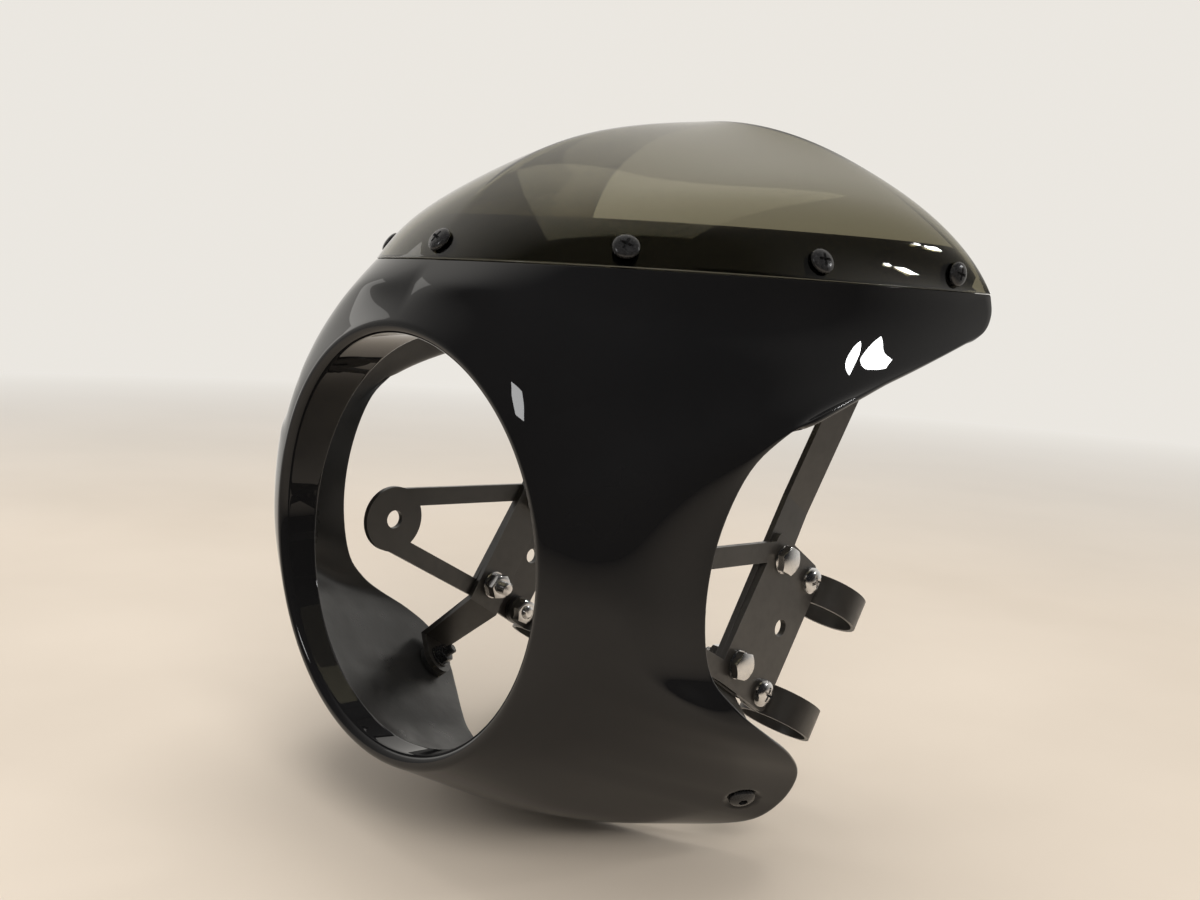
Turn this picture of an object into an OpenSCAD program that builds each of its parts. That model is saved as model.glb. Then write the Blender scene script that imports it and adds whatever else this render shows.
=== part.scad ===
// Headlight cowl for a motorcycle: a one-piece shell with a screwed-on bubble screen, carried by two steel
// headlight brackets with flat-bar stays and four fork clamps.
// Frame: the origin is the centre of the lamp opening, X is across, Y runs rearward along the opening's axis,
// Z is up. All sizes are in millimetres.

/* [Lamp opening] */
// Bore of the opening, which takes the rim of a round lamp
lamp_bore = 190; // [180:1:198]
// Rounding of the lip round the opening
lip_round = 4; // [3:0.2:5]
// How far the lip's sides lie behind its top and bottom, each way from the mean
lip_sweep = 1.8; // [0:0.2:3]
// Depth of the lamp flange behind the lip, at mid height
flange_depth = 22; // [16:1:28]
// How much deeper the flange is at the top, and shallower at the bottom
flange_slant = 9; // [4:0.5:10]
// Wall of the lamp flange
flange_t = 3; // [2.6:0.2:4]

/* [Shell] */
// Wall of the moulding
shell_t = 3; // [2.6:0.2:3.6]
// Height of the seam under the screen
seam_h = 128.5; // [124:0.5:134]
// Distance of the seam's middle behind the lip
seam_nose = 17.4; // [14:0.2:21]
// Half width of the shell at its rear corners
wing_half_w = 145.3; // [141:0.1:150]
// Distance of the rear corners behind the lip
wing_reach = 260.3; // [250:0.1:270]
// Half width of the shell at its waist
waist_half_w = 135.5; // [131:0.5:140]
// Distance of the waist's edge behind the lip
waist_reach = 61.8; // [56:0.2:68]
// Half width across the lower ears
ear_half_w = 146; // [142:0.5:150]
// Distance of the lower ears' tips behind the lip
ear_reach = 136; // [130:0.5:142]
// Depth of the lower ears' tips below the opening's axis
ear_drop = 106; // [102:0.5:110]
// Depth of the chin's edge below the opening's axis
chin_drop = 142; // [138:0.5:146]
// Distance of the chin's edge behind the lip
chin_reach = 94; // [88:0.5:100]

/* [Screen] */
// Thickness of the clear screen
screen_t = 3; // [2.4:0.2:3.4]
// Height of the screen's top above the seam
screen_rise = 86; // [80:1:92]
// Distance of the screen's top behind the lip
screen_back = 199.4; // [190:0.2:206]
// Gap between the screen and the shell, all round
screen_gap = 0.3; // [0.2:0.05:0.5]
// Height of the ledge that carries the screen
ledge_h = 23; // [20:0.5:26]
// Wall of the ledge
ledge_t = 2.6; // [2.4:0.2:3]

/* [Screen screws] */
// Number of screws on each side of the middle one
screws_side = 3; // [2:1:3]
// Distance between screws along the seam
screw_pitch = 93; // [88:0.5:93]
// Height of the screws above the seam
screw_h = 8.6; // [8:0.2:11]
// Diameter of the screws' shanks
screw_d = 5; // [4:0.5:5]
// Diameter of the screws' heads
screw_head_d = 12; // [10.5:0.5:13]

/* [Brackets] */
// Distance between the brackets' outer faces
bracket_w = 190.6; // [188:0.2:192]
// Thickness of the bracket plates and stays
plate_t = 3.2; // [3:0.1:4]
// Lean of the fork legs, which the plates follow
rake = 33.1; // [30:0.1:36]
// Distance of the lower front bolt behind the lip
bolt_y = 139.2; // [136:0.2:143]
// Distance of the lower front bolt below the opening's axis
bolt_drop = 56.5; // [53:0.5:60]
// Spacing of the two front bolts
bolt_span = 57.5; // [54:0.5:61]
// Distance from the front bolt row to the rear bolt row
row_gap = 27.4; // [26:0.2:30]
// Width of the two arms that reach to the lamp ear
arm_w = 10; // [8:0.5:12]
// Radius of the lamp ear's disc
lamp_ear_r = 18; // [16:0.5:20]
// Bore for the lamp's side bolt
lamp_bolt_d = 10; // [8:0.5:10.5]
// Distance of the lamp bolt behind the lip
lamp_bolt_y = 69; // [68.5:0.5:73]
// Distance of the lamp bolt below the opening's axis
lamp_bolt_drop = 11.1; // [8:0.1:14]
// Bore of the spare hole for a turn signal
signal_d = 9; // [8:0.5:10.5]
// Width of the stays
stay_w = 24; // [22:0.5:26]
// Width of the stays' two arms
stay_arm_w = 20; // [17:0.5:20]

/* [Fork clamps] */
// Diameter of the fork legs
fork_d = 35; // [33:0.5:37]
// Thickness of the clamp bands
band_t = 2; // [1.5:0.1:2.2]
// Width of the clamp bands
band_w = 16; // [14:0.5:18]
// Distance from the rear bolt row to the fork's axis
fork_offset = 29.4; // [28.6:0.2:33]
// Gap between the two ends of a clamp band
band_gap = 0.8; // [0.4:0.1:1.2]

/* [Fasteners] */
// Shank diameter of the bolts that join plates, stays and clamps
bolt_d = 8; // [6:0.5:8]
// Clearance of each bolt in its holes, on the diameter
bolt_clear = 0.6; // [0.4:0.1:1]
// Shank diameter of the screws through the lower ears
ear_screw_d = 6; // [5:0.5:6]

/* [Hidden] */

// Vector helpers
function unit(v) = v / norm(v);
function mix(a, b, k) = a * (1 - k) + b * k;
function smooth(k) = k <= 0 ? 0 : k >= 1 ? 1 : k * k * (3 - 2 * k);
function bezier(p, k) =
    p[0] * pow(1 - k, 3) + p[1] * 3 * k * pow(1 - k, 2) + p[2] * 3 * k * k * (1 - k) + p[3] * pow(k, 3);
// Catmull-Rom curve through a list of points or vectors, with the parameter counted in list steps
function through(p, k) =
    let (n = len(p) - 1, i = min(floor(k), n - 1), f = k - i,
         a = i == 0 ? 2 * p[0] - p[1] : p[i - 1], b = p[i], c = p[i + 1],
         d = i + 2 > n ? 2 * p[n] - p[n - 1] : p[i + 2])
    0.5 * (2 * b + (c - a) * f + (2 * a - 5 * b + 4 * c - d) * f * f + (3 * b - a - 3 * c + d) * pow(f, 3));

// Lip: a slightly swept ring round the bore
bore_r = lamp_bore / 2;
function around(a) = [cos(a), 0, sin(a)];
function lip_y(a) = lip_sweep * cos(2 * a);
function flange_y(a) = flange_depth + flange_slant * sin(a);

// Seam: a plane curve at the shell's top, from the middle (k = 0) to the rear corner (k = 1)
seam_front_pull = 65.8;
seam_side_pull = 209.6;
seam_side_slope = 0.026;
seam_plan = [
    [0, seam_nose, seam_h],
    [seam_front_pull, seam_nose, seam_h],
    [wing_half_w - seam_side_slope * seam_side_pull, wing_reach - seam_side_pull, seam_h],
    [wing_half_w, wing_reach, seam_h]
];
function seam(k) = bezier(seam_plan, k);

// Rear edge of one half of the shell, from the rear corner down to the middle of the chin
rear_edge = [
    [wing_half_w, wing_reach, seam_h],
    [wing_half_w + 0.7, wing_reach + 1.6, seam_h - 10],
    [wing_half_w + 1.2, wing_reach - 5, seam_h - 18.5],
    [wing_half_w + 1.8, wing_reach - 22, seam_h - 23.5],
    [wing_half_w + 2.2, wing_reach - 52, seam_h - 31.8],
    [wing_half_w + 2.2, wing_reach - 94, seam_h - 42.5],
    [mix(waist_half_w, wing_half_w, 1.2), mix(waist_reach, wing_reach, 0.28), 72],
    [mix(waist_half_w, wing_half_w, 0.8), mix(waist_reach, wing_reach, 0.17), 62],
    [mix(waist_half_w, wing_half_w, 0.4), mix(waist_reach, wing_reach, 0.083), 47],
    [waist_half_w + 1, waist_reach + 4.2, 21],
    [waist_half_w, waist_reach, -8],
    [waist_half_w + 1, waist_reach + 4.5, -36],
    [ear_half_w - 4, mix(waist_reach, ear_reach, 0.24), mix(-36, -ear_drop, 0.25)],
    [ear_half_w, mix(waist_reach, ear_reach, 0.48), mix(-36, -ear_drop, 0.46)],
    [ear_half_w - 1, mix(waist_reach, ear_reach, 0.75), mix(-36, -ear_drop, 0.67)],
    [ear_half_w - 6.5, ear_reach - 5, -ear_drop + 9],
    [ear_half_w - 18, ear_reach, -ear_drop - 8.5],
    [ear_half_w - 31.5, ear_reach - 4, -ear_drop - 20.8],
    [ear_half_w - 53, mix(ear_reach, chin_reach, 0.37), mix(-ear_drop, -chin_drop, 0.76)],
    [ear_half_w - 75, mix(ear_reach, chin_reach, 0.63), mix(-ear_drop, -chin_drop, 0.86)],
    [(ear_half_w - 75) / 2, mix(ear_reach, chin_reach, 0.91), mix(-ear_drop, -chin_drop, 0.97)],
    [0, chin_reach, -chin_drop]
];
rear_last = len(rear_edge) - 1;

// Steps of the rear edge for each unit of edge place
rear_rate = 13;
// Skin of one half: a fan of curves from the lip to the edge. Each row is one station, in the order of the edge:
// edge place (up to 1 on the seam, then on the rear edge), angle on the lip, flare of the lip, reach of the
// curve from the lip, then side angle, lift and reach of the curve where it meets the edge
stations = [
    [0, 90, 56, 15.4, 0, 46, 12],
    [0.30, 73, 60, 30, 28, 29, 38],
    [0.55, 58, 65, 43, 24, 27, 61],
    [0.80, 45, 71, 55, 14, 25, 84],
    [1.00, 36, 75, 62, 5, 18, 100],
    [1.20, 29, 76, 59, 4, 14, 96],
    [1.38, 23, 74, 52, 5, 12, 78],
    [1.54, 16, 73, 45, 8, 12, 50],
    [1.70, 7, 72, 39, 10, 8, 34],
    [1.85, -5, 72, 37, 10, 0, 31],
    [2.00, -16, 69, 36, 12, -8, 36],
    [2.15, -28, 61, 34, 16, -14, 46],
    [2.31, -42, 50, 30, 20, -18, 54],
    [2.46, -61, 37, 27, 14, -7, 60],
    [1 + rear_last / rear_rate, -90, 26, 24, 0, -20, 38]
];
station_last = len(stations) - 1;
function edge_at(e) = e <= 1 ? seam(e) : through(rear_edge, min((e - 1) * rear_rate, rear_last));
// The four control points of the curve at station place k
function skin_curve(k) =
    let (q = through(stations, k), a = q[1], flare = q[2],
         lip = around(a) * (bore_r + lip_round * (1 + cos(flare)))
             + [0, lip_y(a) + lip_round * (1 - sin(flare)), 0],
         away = around(a) * sin(flare) + [0, cos(flare), 0],
         arrive = [cos(q[5]) * sin(q[4]), cos(q[5]) * cos(q[4]), sin(q[5])],
         edge = edge_at(q[0]))
    k <= 0 || k >= station_last
        ? [lip, lip + away * q[3], edge - [0, cos(q[5]), sin(q[5])] * q[6], edge]
        : [lip, lip + away * q[3], edge - arrive * q[6], edge];
function skin(k, t) = bezier(skin_curve(k), t);
// Outward normal of the skin
function skin_normal(k, t) =
    let (dk = 0.02, dt = 0.01, k0 = max(k - dk, 0), k1 = min(k + dk, station_last),
         t0 = max(t - dt, 0), t1 = min(t + dt, 1),
         n = cross(skin(k1, t) - skin(k0, t), skin(k, t1) - skin(k, t0)))
    unit(k <= 0 || k >= station_last ? [0, n[1], n[2]] : n);

// Nearest place to the rear corner at which the screen's normal is taken
normal_end = 0.96;
// Screen: a fan of curves from the seam to the trailing edge, counted along the seam like the seam itself
screen_power = 1.42;
screen_end_angle = 2.5;
function trail(k) =
    let (a = 90 * pow(1 - k, 0.62) + screen_end_angle * k, h = pow(sin(a), screen_power))
    [wing_half_w * cos(a), mix(wing_reach, screen_back, h), seam_h + screen_rise * h];
function screen_curve(k) =
    let (foot = seam(k) + [0, 0, screen_gap], top = trail(k), far = norm(top - foot),
         lean = 59, swing = 90 * pow(1 - k, 1.1),
         rise = [k <= 0 ? 0 : -cos(lean) * cos(swing), cos(lean) * sin(swing), sin(lean)],
         over = unit([-0.9 * top[0], 88 * (1 - k) - 36, 8 + 51 * k]))
    [foot, foot + rise * far * 0.333, top - over * far * 0.451, top];
function screen(k, t) = bezier(screen_curve(k), t);
function screen_normal(k, t) =
    let (m = min(k, normal_end), dk = 0.004, dt = 0.01, k0 = max(m - dk, 0), k1 = m + dk,
         t0 = max(t - dt, 0), t1 = min(t + dt, 1),
         n = cross(screen(k1, t) - screen(k0, t), screen(m, t1) - screen(m, t0)))
    unit(k <= 0 ? [0, n[1], n[2]] : n);

// Part of the screen's curve that lies below a height over the seam
function screen_at(k, h, lo = 0, hi = 1, n = 14) =
    n == 0 ? (lo + hi) / 2
    : let (m = (lo + hi) / 2) screen(k, m)[2] < seam_h + h ? screen_at(k, h, m, hi, n - 1)
    : screen_at(k, h, lo, m, n - 1);
// The ledge runs out just behind the last screw, at the rear corner
ledge_end = 0.95;
function ledge_top(k) = min(screen_at(k, ledge_h), 0.94) * mix(1, 0.1, smooth((k - ledge_end) / (1 - ledge_end) * 1.5));

// Mesh helpers: the two triangles of a quad, cut along its shorter diagonal, and a grid that closes both ways
function quad(p, a, b, c, d) =
    norm(p[a] - p[c]) <= norm(p[b] - p[d]) ? [[a, b, c], [a, c, d]] : [[a, b, d], [b, c, d]];
function ring_faces(p, rows, cols) = [
    for (i = [0 : rows - 1], j = [0 : cols - 1])
        let (i2 = (i + 1) % rows, j2 = (j + 1) % cols)
        each quad(p, i * cols + j, i2 * cols + j, i2 * cols + j2, i * cols + j2)
];
function mirrored(p) = [-p[0], p[1], p[2]];

// Shell
seam_end = 4;
wing_end = 6;
wing_steps = 5;
side_steps = 3;
columns = concat(
    [for (i = [0 : wing_end * wing_steps - 1]) i / wing_steps],
    [for (i = [0 : (station_last - wing_end) * side_steps]) wing_end + i / side_steps]
);
ledge_stops = [0, 0.35, 0.7, 1];
skin_stops = [0, 0.06, 0.16, 0.3, 0.45, 0.6, 0.75, 0.9, 1];
inner_stops = [1, 0.88, 0.7, 0.5, 0.3, 0.12];
rim_points = 8;
lip_points = 5;
bore_cut = 1.5;
// The ledge lies a little deeper than the seam's gap, as its curve is coarser than the screen's
ledge_gap = screen_gap + 0.35;
joggle = screen_t + ledge_gap + ledge_t - shell_t;
// Depth of the moulding's inner face: it steps in under the ledge
function wall(k, t) =
    shell_t + joggle * smooth((t - 0.8) / 0.2) * (1 - smooth(k - seam_end));
// A point a given depth under the screen's outer face, and no lower than a plane near the seam
function under_screen(s, t, d, low) =
    let (n = screen_normal(s, t), p = screen(s, t), flat = [n[0], n[1], 0])
    t > 0 ? [p[0] - n[0] * d, p[1] - n[1] * d, max(p[2] - n[2] * d, low)]
    : [p[0], p[1], low] - flat * d / (flat * flat);
function ledge_points(s) =
    let (top = ledge_top(s), d = screen_t + ledge_gap, last = len(ledge_stops) - 1)
    concat(
        [for (i = [0 : last]) under_screen(s, top * ledge_stops[i], d, seam_h)],
        [for (i = [last : -1 : 0]) under_screen(s, top * ledge_stops[i], d + ledge_t, seam_h)]
    );
function rim(k) =
    let (c = skin_curve(k), out = unit(c[3] - c[2]), n = skin_normal(k, 1), h = wall(k, 1) / 2)
    [for (i = [1 : rim_points]) let (f = 180 * i / (rim_points + 1))
        c[3] - n * h + (n * cos(f) + out * 0.6 * sin(f)) * h];
function shell_column(k) =
    let (q = through(stations, k), a = q[1], y = lip_y(a), in = around(a) * (bore_r - bore_cut),
         out = around(a) * (bore_r + flange_t))
    concat(
        [in + [0, flange_y(a), 0], in + [0, y + lip_round * 0.8, 0]],
        [for (i = [0 : lip_points - 1]) let (f = mix(165, q[2], i / lip_points))
            around(a) * (bore_r + lip_round * (1 + cos(f))) + [0, y + lip_round * (1 - sin(f)), 0]],
        [for (t = skin_stops) skin(k, t)],
        k <= seam_end ? ledge_points(q[0]) : rim(k),
        [for (t = inner_stops) skin(k, t) - skin_normal(k, t) * wall(k, t)],
        [out + [0, y + lip_round + 5, 0], out + [0, flange_y(a), 0]]
    );
function shell_columns() = [
    for (k = columns) shell_column(k),
    for (i = [len(columns) - 2 : -1 : 1]) [for (p = shell_column(columns[i])) mirrored(p)]
];
module shell_moulding() {
    grid = shell_columns();
    points = [for (c = grid) each c];
    polyhedron(points, ring_faces(points, len(grid), len(grid[0])), convexity = 8);
}

// Places a child with its Z axis along a direction
module aim(p, n) translate(p) rotate([0, acos(n[2]), atan2(n[1], n[0])]) children();
module both_sides() {
    children();
    mirror([1, 0, 0]) children();
}

// Screws of the screen, evenly spaced along the line at their height: point on the screen and outward normal
screw_steps = 60;
function screw_line(s) = screen(s, screen_at(s, screw_h));
screw_run = [for (i = 0, run = 0; i <= screw_steps;
    run = run + (i < screw_steps ? norm(screw_line((i + 1) / screw_steps) - screw_line(i / screw_steps)) : 0),
    i = i + 1) [run, i / screw_steps]];
screw_seats = [for (i = [0 : screws_side])
    let (s = lookup(i * screw_pitch, screw_run), t = screen_at(s, screw_h)) [screen(s, t), screen_normal(s, t)]];
screw_fit = 0.5;
stay_seat = screw_seats[screws_side];
module at_screen_screws(first = 0) {
    if (first == 0) aim(screw_seats[0][0], screw_seats[0][1]) children();
    both_sides() for (i = [max(first, 1) : screws_side]) aim(screw_seats[i][0], screw_seats[i][1]) children();
}
module screen_screw_holes()
    at_screen_screws() translate([0, 0, -15]) cylinder(d = screw_d + screw_fit, h = 25, $fn = 24);

// Lower ears: the screw's point on the shell and its outward normal
ear_place = 11.57;
ear_part = 0.87;
ear_p = skin(ear_place, ear_part);
ear_n = skin_normal(ear_place, ear_part);
ear_recess_d = 15.5;
ear_recess = 1;
ear_fit = 0.6;
// Air between the curved shell and the flat pad, and depth of the pad's face under the shell's outer face
ear_air = 0.3;
ear_seat = shell_t + ear_air;
module at_ear(side) mirror([side < 0 ? 1 : 0, 0, 0]) aim(ear_p, ear_n) children();

module shell() color([0.03, 0.03, 0.035]) difference() {
    shell_moulding();
    rotate([-90, 0, 0]) translate([0, 0, -10]) cylinder(r = bore_r, h = 60, $fn = 96);
    screen_screw_holes();
    for (side = [-1, 1]) at_ear(side) {
        translate([0, 0, -ear_recess]) cylinder(d = ear_recess_d, h = 6, $fn = 48);
        translate([0, 0, -12]) cylinder(d = ear_screw_d + ear_fit, h = 20, $fn = 32);
    }
}

// Screen
screen_steps = 22;
screen_stops = [0, 0.07, 0.15, 0.24, 0.34, 0.45, 0.56, 0.67, 0.78, 0.89, 1];
function screen_section(s) =
    let (last = len(screen_stops) - 1)
    concat(
        [for (t = screen_stops) screen(s, t)],
        [for (i = [last : -1 : 0]) under_screen(s, screen_stops[i], screen_t, seam_h + screen_gap)]
    );
function strip_caps(rows, cols) = [
    [for (j = [0 : cols - 1]) j],
    [for (j = [cols - 1 : -1 : 0]) (rows - 1) * cols + j]
];
function strip_faces(p, rows, cols) = [
    for (i = [0 : rows - 2], j = [0 : cols - 1]) let (j2 = (j + 1) % cols)
        each quad(p, i * cols + j, (i + 1) * cols + j, (i + 1) * cols + j2, i * cols + j2)
];
module screen_moulding() {
    half = [for (i = [0 : screen_steps]) screen_section(pow(i / screen_steps, 0.9))];
    grid = concat([for (i = [screen_steps : -1 : 1]) [for (p = half[i]) mirrored(p)]], half);
    cols = len(grid[0]);
    points = [for (c = grid) each c];
    polyhedron(points, concat(strip_faces(points, len(grid), cols), strip_caps(len(grid), cols)), convexity = 6);
}
module screen() color([0.30, 0.31, 0.24, 0.55]) difference() {
    screen_moulding();
    screen_screw_holes();
}

// Screen screws with their washers and nuts
screw_head_h = 3;
seat_air = 0.5;
washer_t = 1;
nut_h = 4;
nut_across = 8;
thread_fit = 0.1;
grip = screen_t + ledge_gap + ledge_t;
module pan_head(d, h) {
    cylinder(d = d, h = h * 0.35, $fn = 48);
    translate([0, 0, h * 0.35]) cylinder(d1 = d, d2 = d * 0.86, h = h * 0.35, $fn = 48);
    translate([0, 0, h * 0.7]) cylinder(d1 = d * 0.86, d2 = d * 0.5, h = h * 0.3, $fn = 48);
}
module cross_recess(d, depth) translate([0, 0, -depth]) {
    translate([-d / 2, -d / 10, 0]) cube([d, d / 5, depth + 1]);
    translate([-d / 10, -d / 2, 0]) cube([d / 5, d, depth + 1]);
}
module hex_nut(across, h, thread) difference() {
    cylinder(d = across / cos(30), h = h, $fn = 6);
    translate([0, 0, -1]) cylinder(d = thread + thread_fit, h = h + 2, $fn = 32);
}
module flat_washer(d, bore, h) difference() {
    cylinder(d = d, h = h, $fn = 32);
    translate([0, 0, -1]) cylinder(d = bore, h = h + 2, $fn = 24);
}
module screen_screw(extra) difference() {
    union() {
        translate([0, 0, seat_air]) pan_head(screw_head_d, screw_head_h);
        translate([0, 0, -grip - extra - washer_t - nut_h - 2])
            cylinder(d = screw_d, h = grip + extra + washer_t + nut_h + 2 + seat_air + 0.5, $fn = 24);
    }
    translate([0, 0, seat_air + screw_head_h]) cross_recess(screw_head_d * 0.5, screw_head_h * 0.5);
}
inner_air = 0.4;
tab_air = 1.2;
tab_stack = tab_air + plate_t;
module screen_stack(extra) {
    if (screws_side > 1) both_sides() for (i = [1 : screws_side - 1])
        aim(screw_seats[i][0], screw_seats[i][1]) children(0);
    aim(screw_seats[0][0], screw_seats[0][1]) children(0);
    both_sides() aim(stay_seat[0], stay_seat[1]) children(1);
}
module screen_screws() color([0.08, 0.08, 0.08]) screen_stack() {
    screen_screw(0);
    screen_screw(tab_stack);
}
module screen_washers() color([0.08, 0.08, 0.08]) screen_stack() {
    translate([0, 0, -grip - inner_air - washer_t]) flat_washer(nut_across + 2, screw_d + 0.3, washer_t);
    translate([0, 0, -grip - tab_stack - washer_t]) flat_washer(nut_across + 2, screw_d + 0.3, washer_t);
}
module screen_nuts() color([0.7, 0.7, 0.72]) screen_stack() {
    translate([0, 0, -grip - inner_air - washer_t - nut_h]) hex_nut(nut_across, nut_h, screw_d);
    translate([0, 0, -grip - tab_stack - washer_t - nut_h]) hex_nut(nut_across, nut_h, screw_d);
}

// Brackets: plan coordinates run across the fork (p) and along it (q), from the lower front bolt
plate_x = bracket_w / 2;
inner_x = plate_x - plate_t;
stay_x = inner_x - plate_t;
function to_plan(y, z) = [
    (y - bolt_y) * cos(rake) - (z + bolt_drop) * sin(rake), (y - bolt_y) * sin(rake) + (z + bolt_drop) * cos(rake)
];
function from_plan(p, q) = [bolt_y + p * cos(rake) + q * sin(rake), -bolt_drop - p * sin(rake) + q * cos(rake)];
// Puts a child drawn in plan, with its thickness along Z, at a distance from the middle of the bike
module on_plan(x) translate([x, bolt_y, -bolt_drop]) rotate([-rake, 0, 0]) rotate([90, 0, 90]) children();
module side_of(side) mirror([side < 0 ? 1 : 0, 0, 0]) children();

hole_d = bolt_d + bolt_clear;
front_edge = 11.4;
rear_edge_p = row_gap + 8.8;
bottom_edge = 12;
top_edge = bolt_span + 10;
clamp_low = -4;
clamp_high = bolt_span + 1.5;
signal_p = row_gap * 0.75;
signal_q = bolt_span / 2;
ear_pq = to_plan(lamp_bolt_y, -lamp_bolt_drop);
corner_r = 3;
corner_steps = 4;

// Outline with rounded corners
function rounded(pts, r) = let (n = len(pts)) [
    for (i = [0 : n - 1])
        let (p = pts[i], a = unit(pts[(i + n - 1) % n] - p), b = unit(pts[(i + 1) % n] - p),
             half = acos(a * b) / 2, c = p + unit(a + b) * r / sin(half),
             s = p + a * r / tan(half) - c, e = p + b * r / tan(half) - c)
        for (j = [0 : corner_steps]) c + unit(mix(s, e, j / corner_steps)) * r
];
// A straight bar of a given width between two points in plan
module bar(a, b, w) translate(a) rotate(atan2(b[1] - a[1], b[0] - a[0]))
    translate([0, -w / 2]) square([norm(b - a), w]);
// A bar from the rim of the ear's disc, on its upper (1) or lower (-1) side, to a point
module tangent_bar(to, side) {
    d = unit(to - ear_pq);
    bar(ear_pq + [-d[1], d[0]] * side * (lamp_ear_r - arm_w / 2 - 1), to, arm_w);
}
module plate_outline() {
    polygon(rounded([
        [-front_edge, -bottom_edge], [rear_edge_p, -bottom_edge], [rear_edge_p, bolt_span + 2.5],
        [row_gap, top_edge], [-front_edge, top_edge]
    ], corner_r));
    translate(ear_pq) circle(r = lamp_ear_r, $fn = 72);
    tangent_bar([-front_edge + 4, top_edge - arm_w / 2 - 4], 1);
    tangent_bar([-front_edge + 6, -bottom_edge + arm_w / 2], -1);
}
module bolt_holes(x, h) on_plan(x) {
    for (q = [0, bolt_span]) translate([0, q, 0]) cylinder(d = hole_d, h = h, $fn = 40);
}
module bracket_plate(side) color([0.06, 0.06, 0.06]) side_of(side) difference() {
    on_plan(inner_x) linear_extrude(plate_t) plate_outline();
    bolt_holes(inner_x - 1, plate_t + 2);
    on_plan(inner_x - 1) {
        for (q = [clamp_low, clamp_high]) translate([row_gap, q, 0]) cylinder(d = hole_d, h = plate_t + 2, $fn = 40);
        translate([signal_p, signal_q, 0]) cylinder(d = signal_d, h = plate_t + 2, $fn = 40);
        translate(ear_pq) cylinder(d = lamp_bolt_d, h = plate_t + 2, $fn = 40);
    }
}

// Stays: one flat bar on the plate's inner face, folded out to a lower tab on the ear and to an upper tab on the
// screen's rear screw. The bar is a strip of sections, each with its centre, half its width as a vector and half
// its thickness as a vector, which is mitred at each fold
stay_front = -10.7;
stay_mid = stay_front + stay_w / 2;
stay_top = bolt_span + 29;
stay_low = -bottom_edge - plate_t / 2;
half_t = plate_t / 2;
half_arm = stay_arm_w / 2;
stay_mid_x = stay_x + half_t;
arm_p = stay_front + half_arm - 3;
// From the lower tab's screw to its fold
tab_reach = 14;
pad_t = 3;
function at_plan(x, p, q) = let (f = from_plan(p, q)) [x, f[0], f[1]];
outward = [1, 0, 0];
across_fork = [0, cos(rake), -sin(rake)];
// Middle of each tab: the upper against the ledge's inner face, the lower against the ear's pad
function tab_centre(seat, depth) = seat[0] - seat[1] * depth;
// Direction in a tab's plane towards a point, and the direction across the tab
function in_tab(n, from, to) = unit((to - from) - n * ((to - from) * n));
function across_tab(n, out) = let (a = unit(cross(n, out))) a * sign(a * across_fork);
// Outward normal of a strip that runs along a direction, and half thickness at a fold between two normals
function strip_normal(across, along) = unit(cross(across, along));
function mitre(m, n) = (m + n) * half_t / (1 + m * n);
upper_tab = tab_centre(stay_seat, grip + tab_air + half_t);
lower_tab = tab_centre([ear_p, ear_n], ear_seat + pad_t + half_t);
upper_root = at_plan(stay_mid_x, arm_p, stay_top);
upper_knee = [112, 212, 112.5];
upper_out = in_tab(stay_seat[1], upper_tab, upper_knee);
upper_across = across_tab(stay_seat[1], upper_out);
upper_fold = upper_tab + upper_out * half_arm;
lower_root = at_plan(stay_mid_x, stay_mid, stay_low);
lower_across = unit(across_fork - ear_n * (ear_n * across_fork));
lower_out = unit(cross(ear_n, lower_across));
lower_fold = lower_tab + lower_out * tab_reach;
lower_normal = strip_normal(across_fork, lower_root - lower_fold);
rise = unit(upper_knee - upper_root);
rise_normal = strip_normal(across_fork, rise);
knee_across = unit(cross(rise, rise_normal));
knee_normal = strip_normal(knee_across, upper_fold - upper_knee);
// Half width vector along the fold line of two flat faces, for a bar of a given half width across its run
function fold_line(m, n, across, half) = let (f = unit(cross(m, n))) f * half / (f * across);
// How far the upper tab reaches past its screw, under the inward lean of the ledge
upper_end = 6;
tab_turns = [0, 20, 40, 60, 78];
function tab_section(c, out, across, n, end, turn) =
    [c - out * end * sin(turn), across * half_arm * cos(turn), n * half_t];
stay_sections = concat(
    [for (i = [len(tab_turns) - 1 : -1 : 0]) 
        tab_section(lower_tab, lower_out, lower_across, ear_n, half_arm, tab_turns[i])],
    [
        [lower_fold, fold_line(ear_n, lower_normal, lower_across, half_arm), mitre(ear_n, lower_normal)],
        [lower_root, across_fork * stay_w / 2, mitre(lower_normal, outward)],
        [upper_root, fold_line(outward, rise_normal, knee_across, half_arm), mitre(outward, rise_normal)],
        [upper_knee, knee_across * half_arm, mitre(rise_normal, knee_normal)],
        [upper_fold, fold_line(knee_normal, stay_seat[1], upper_across, half_arm), mitre(knee_normal, stay_seat[1])]
    ],
    [for (turn = tab_turns) tab_section(upper_tab, upper_out, upper_across, stay_seat[1], upper_end, turn)]
);
module strip(sections) {
    pts = [for (s = sections) each [s[0] - s[1] + s[2], s[0] + s[1] + s[2], s[0] + s[1] - s[2], s[0] - s[1] - s[2]]];
    polyhedron(pts, concat(strip_faces(pts, len(sections), 4), strip_caps(len(sections), 4)), convexity = 4);
}
module stay(side) color([0.06, 0.06, 0.06]) side_of(side) difference() {
    strip(stay_sections);
    bolt_holes(stay_x - 1, plate_t + 2);
    aim(upper_tab, stay_seat[1]) translate([0, 0, -8]) cylinder(d = screw_d + screw_fit, h = 16, $fn = 24);
    aim(lower_tab, ear_n) translate([0, 0, -8]) cylinder(d = ear_screw_d + ear_fit, h = 16, $fn = 32);
}

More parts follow.
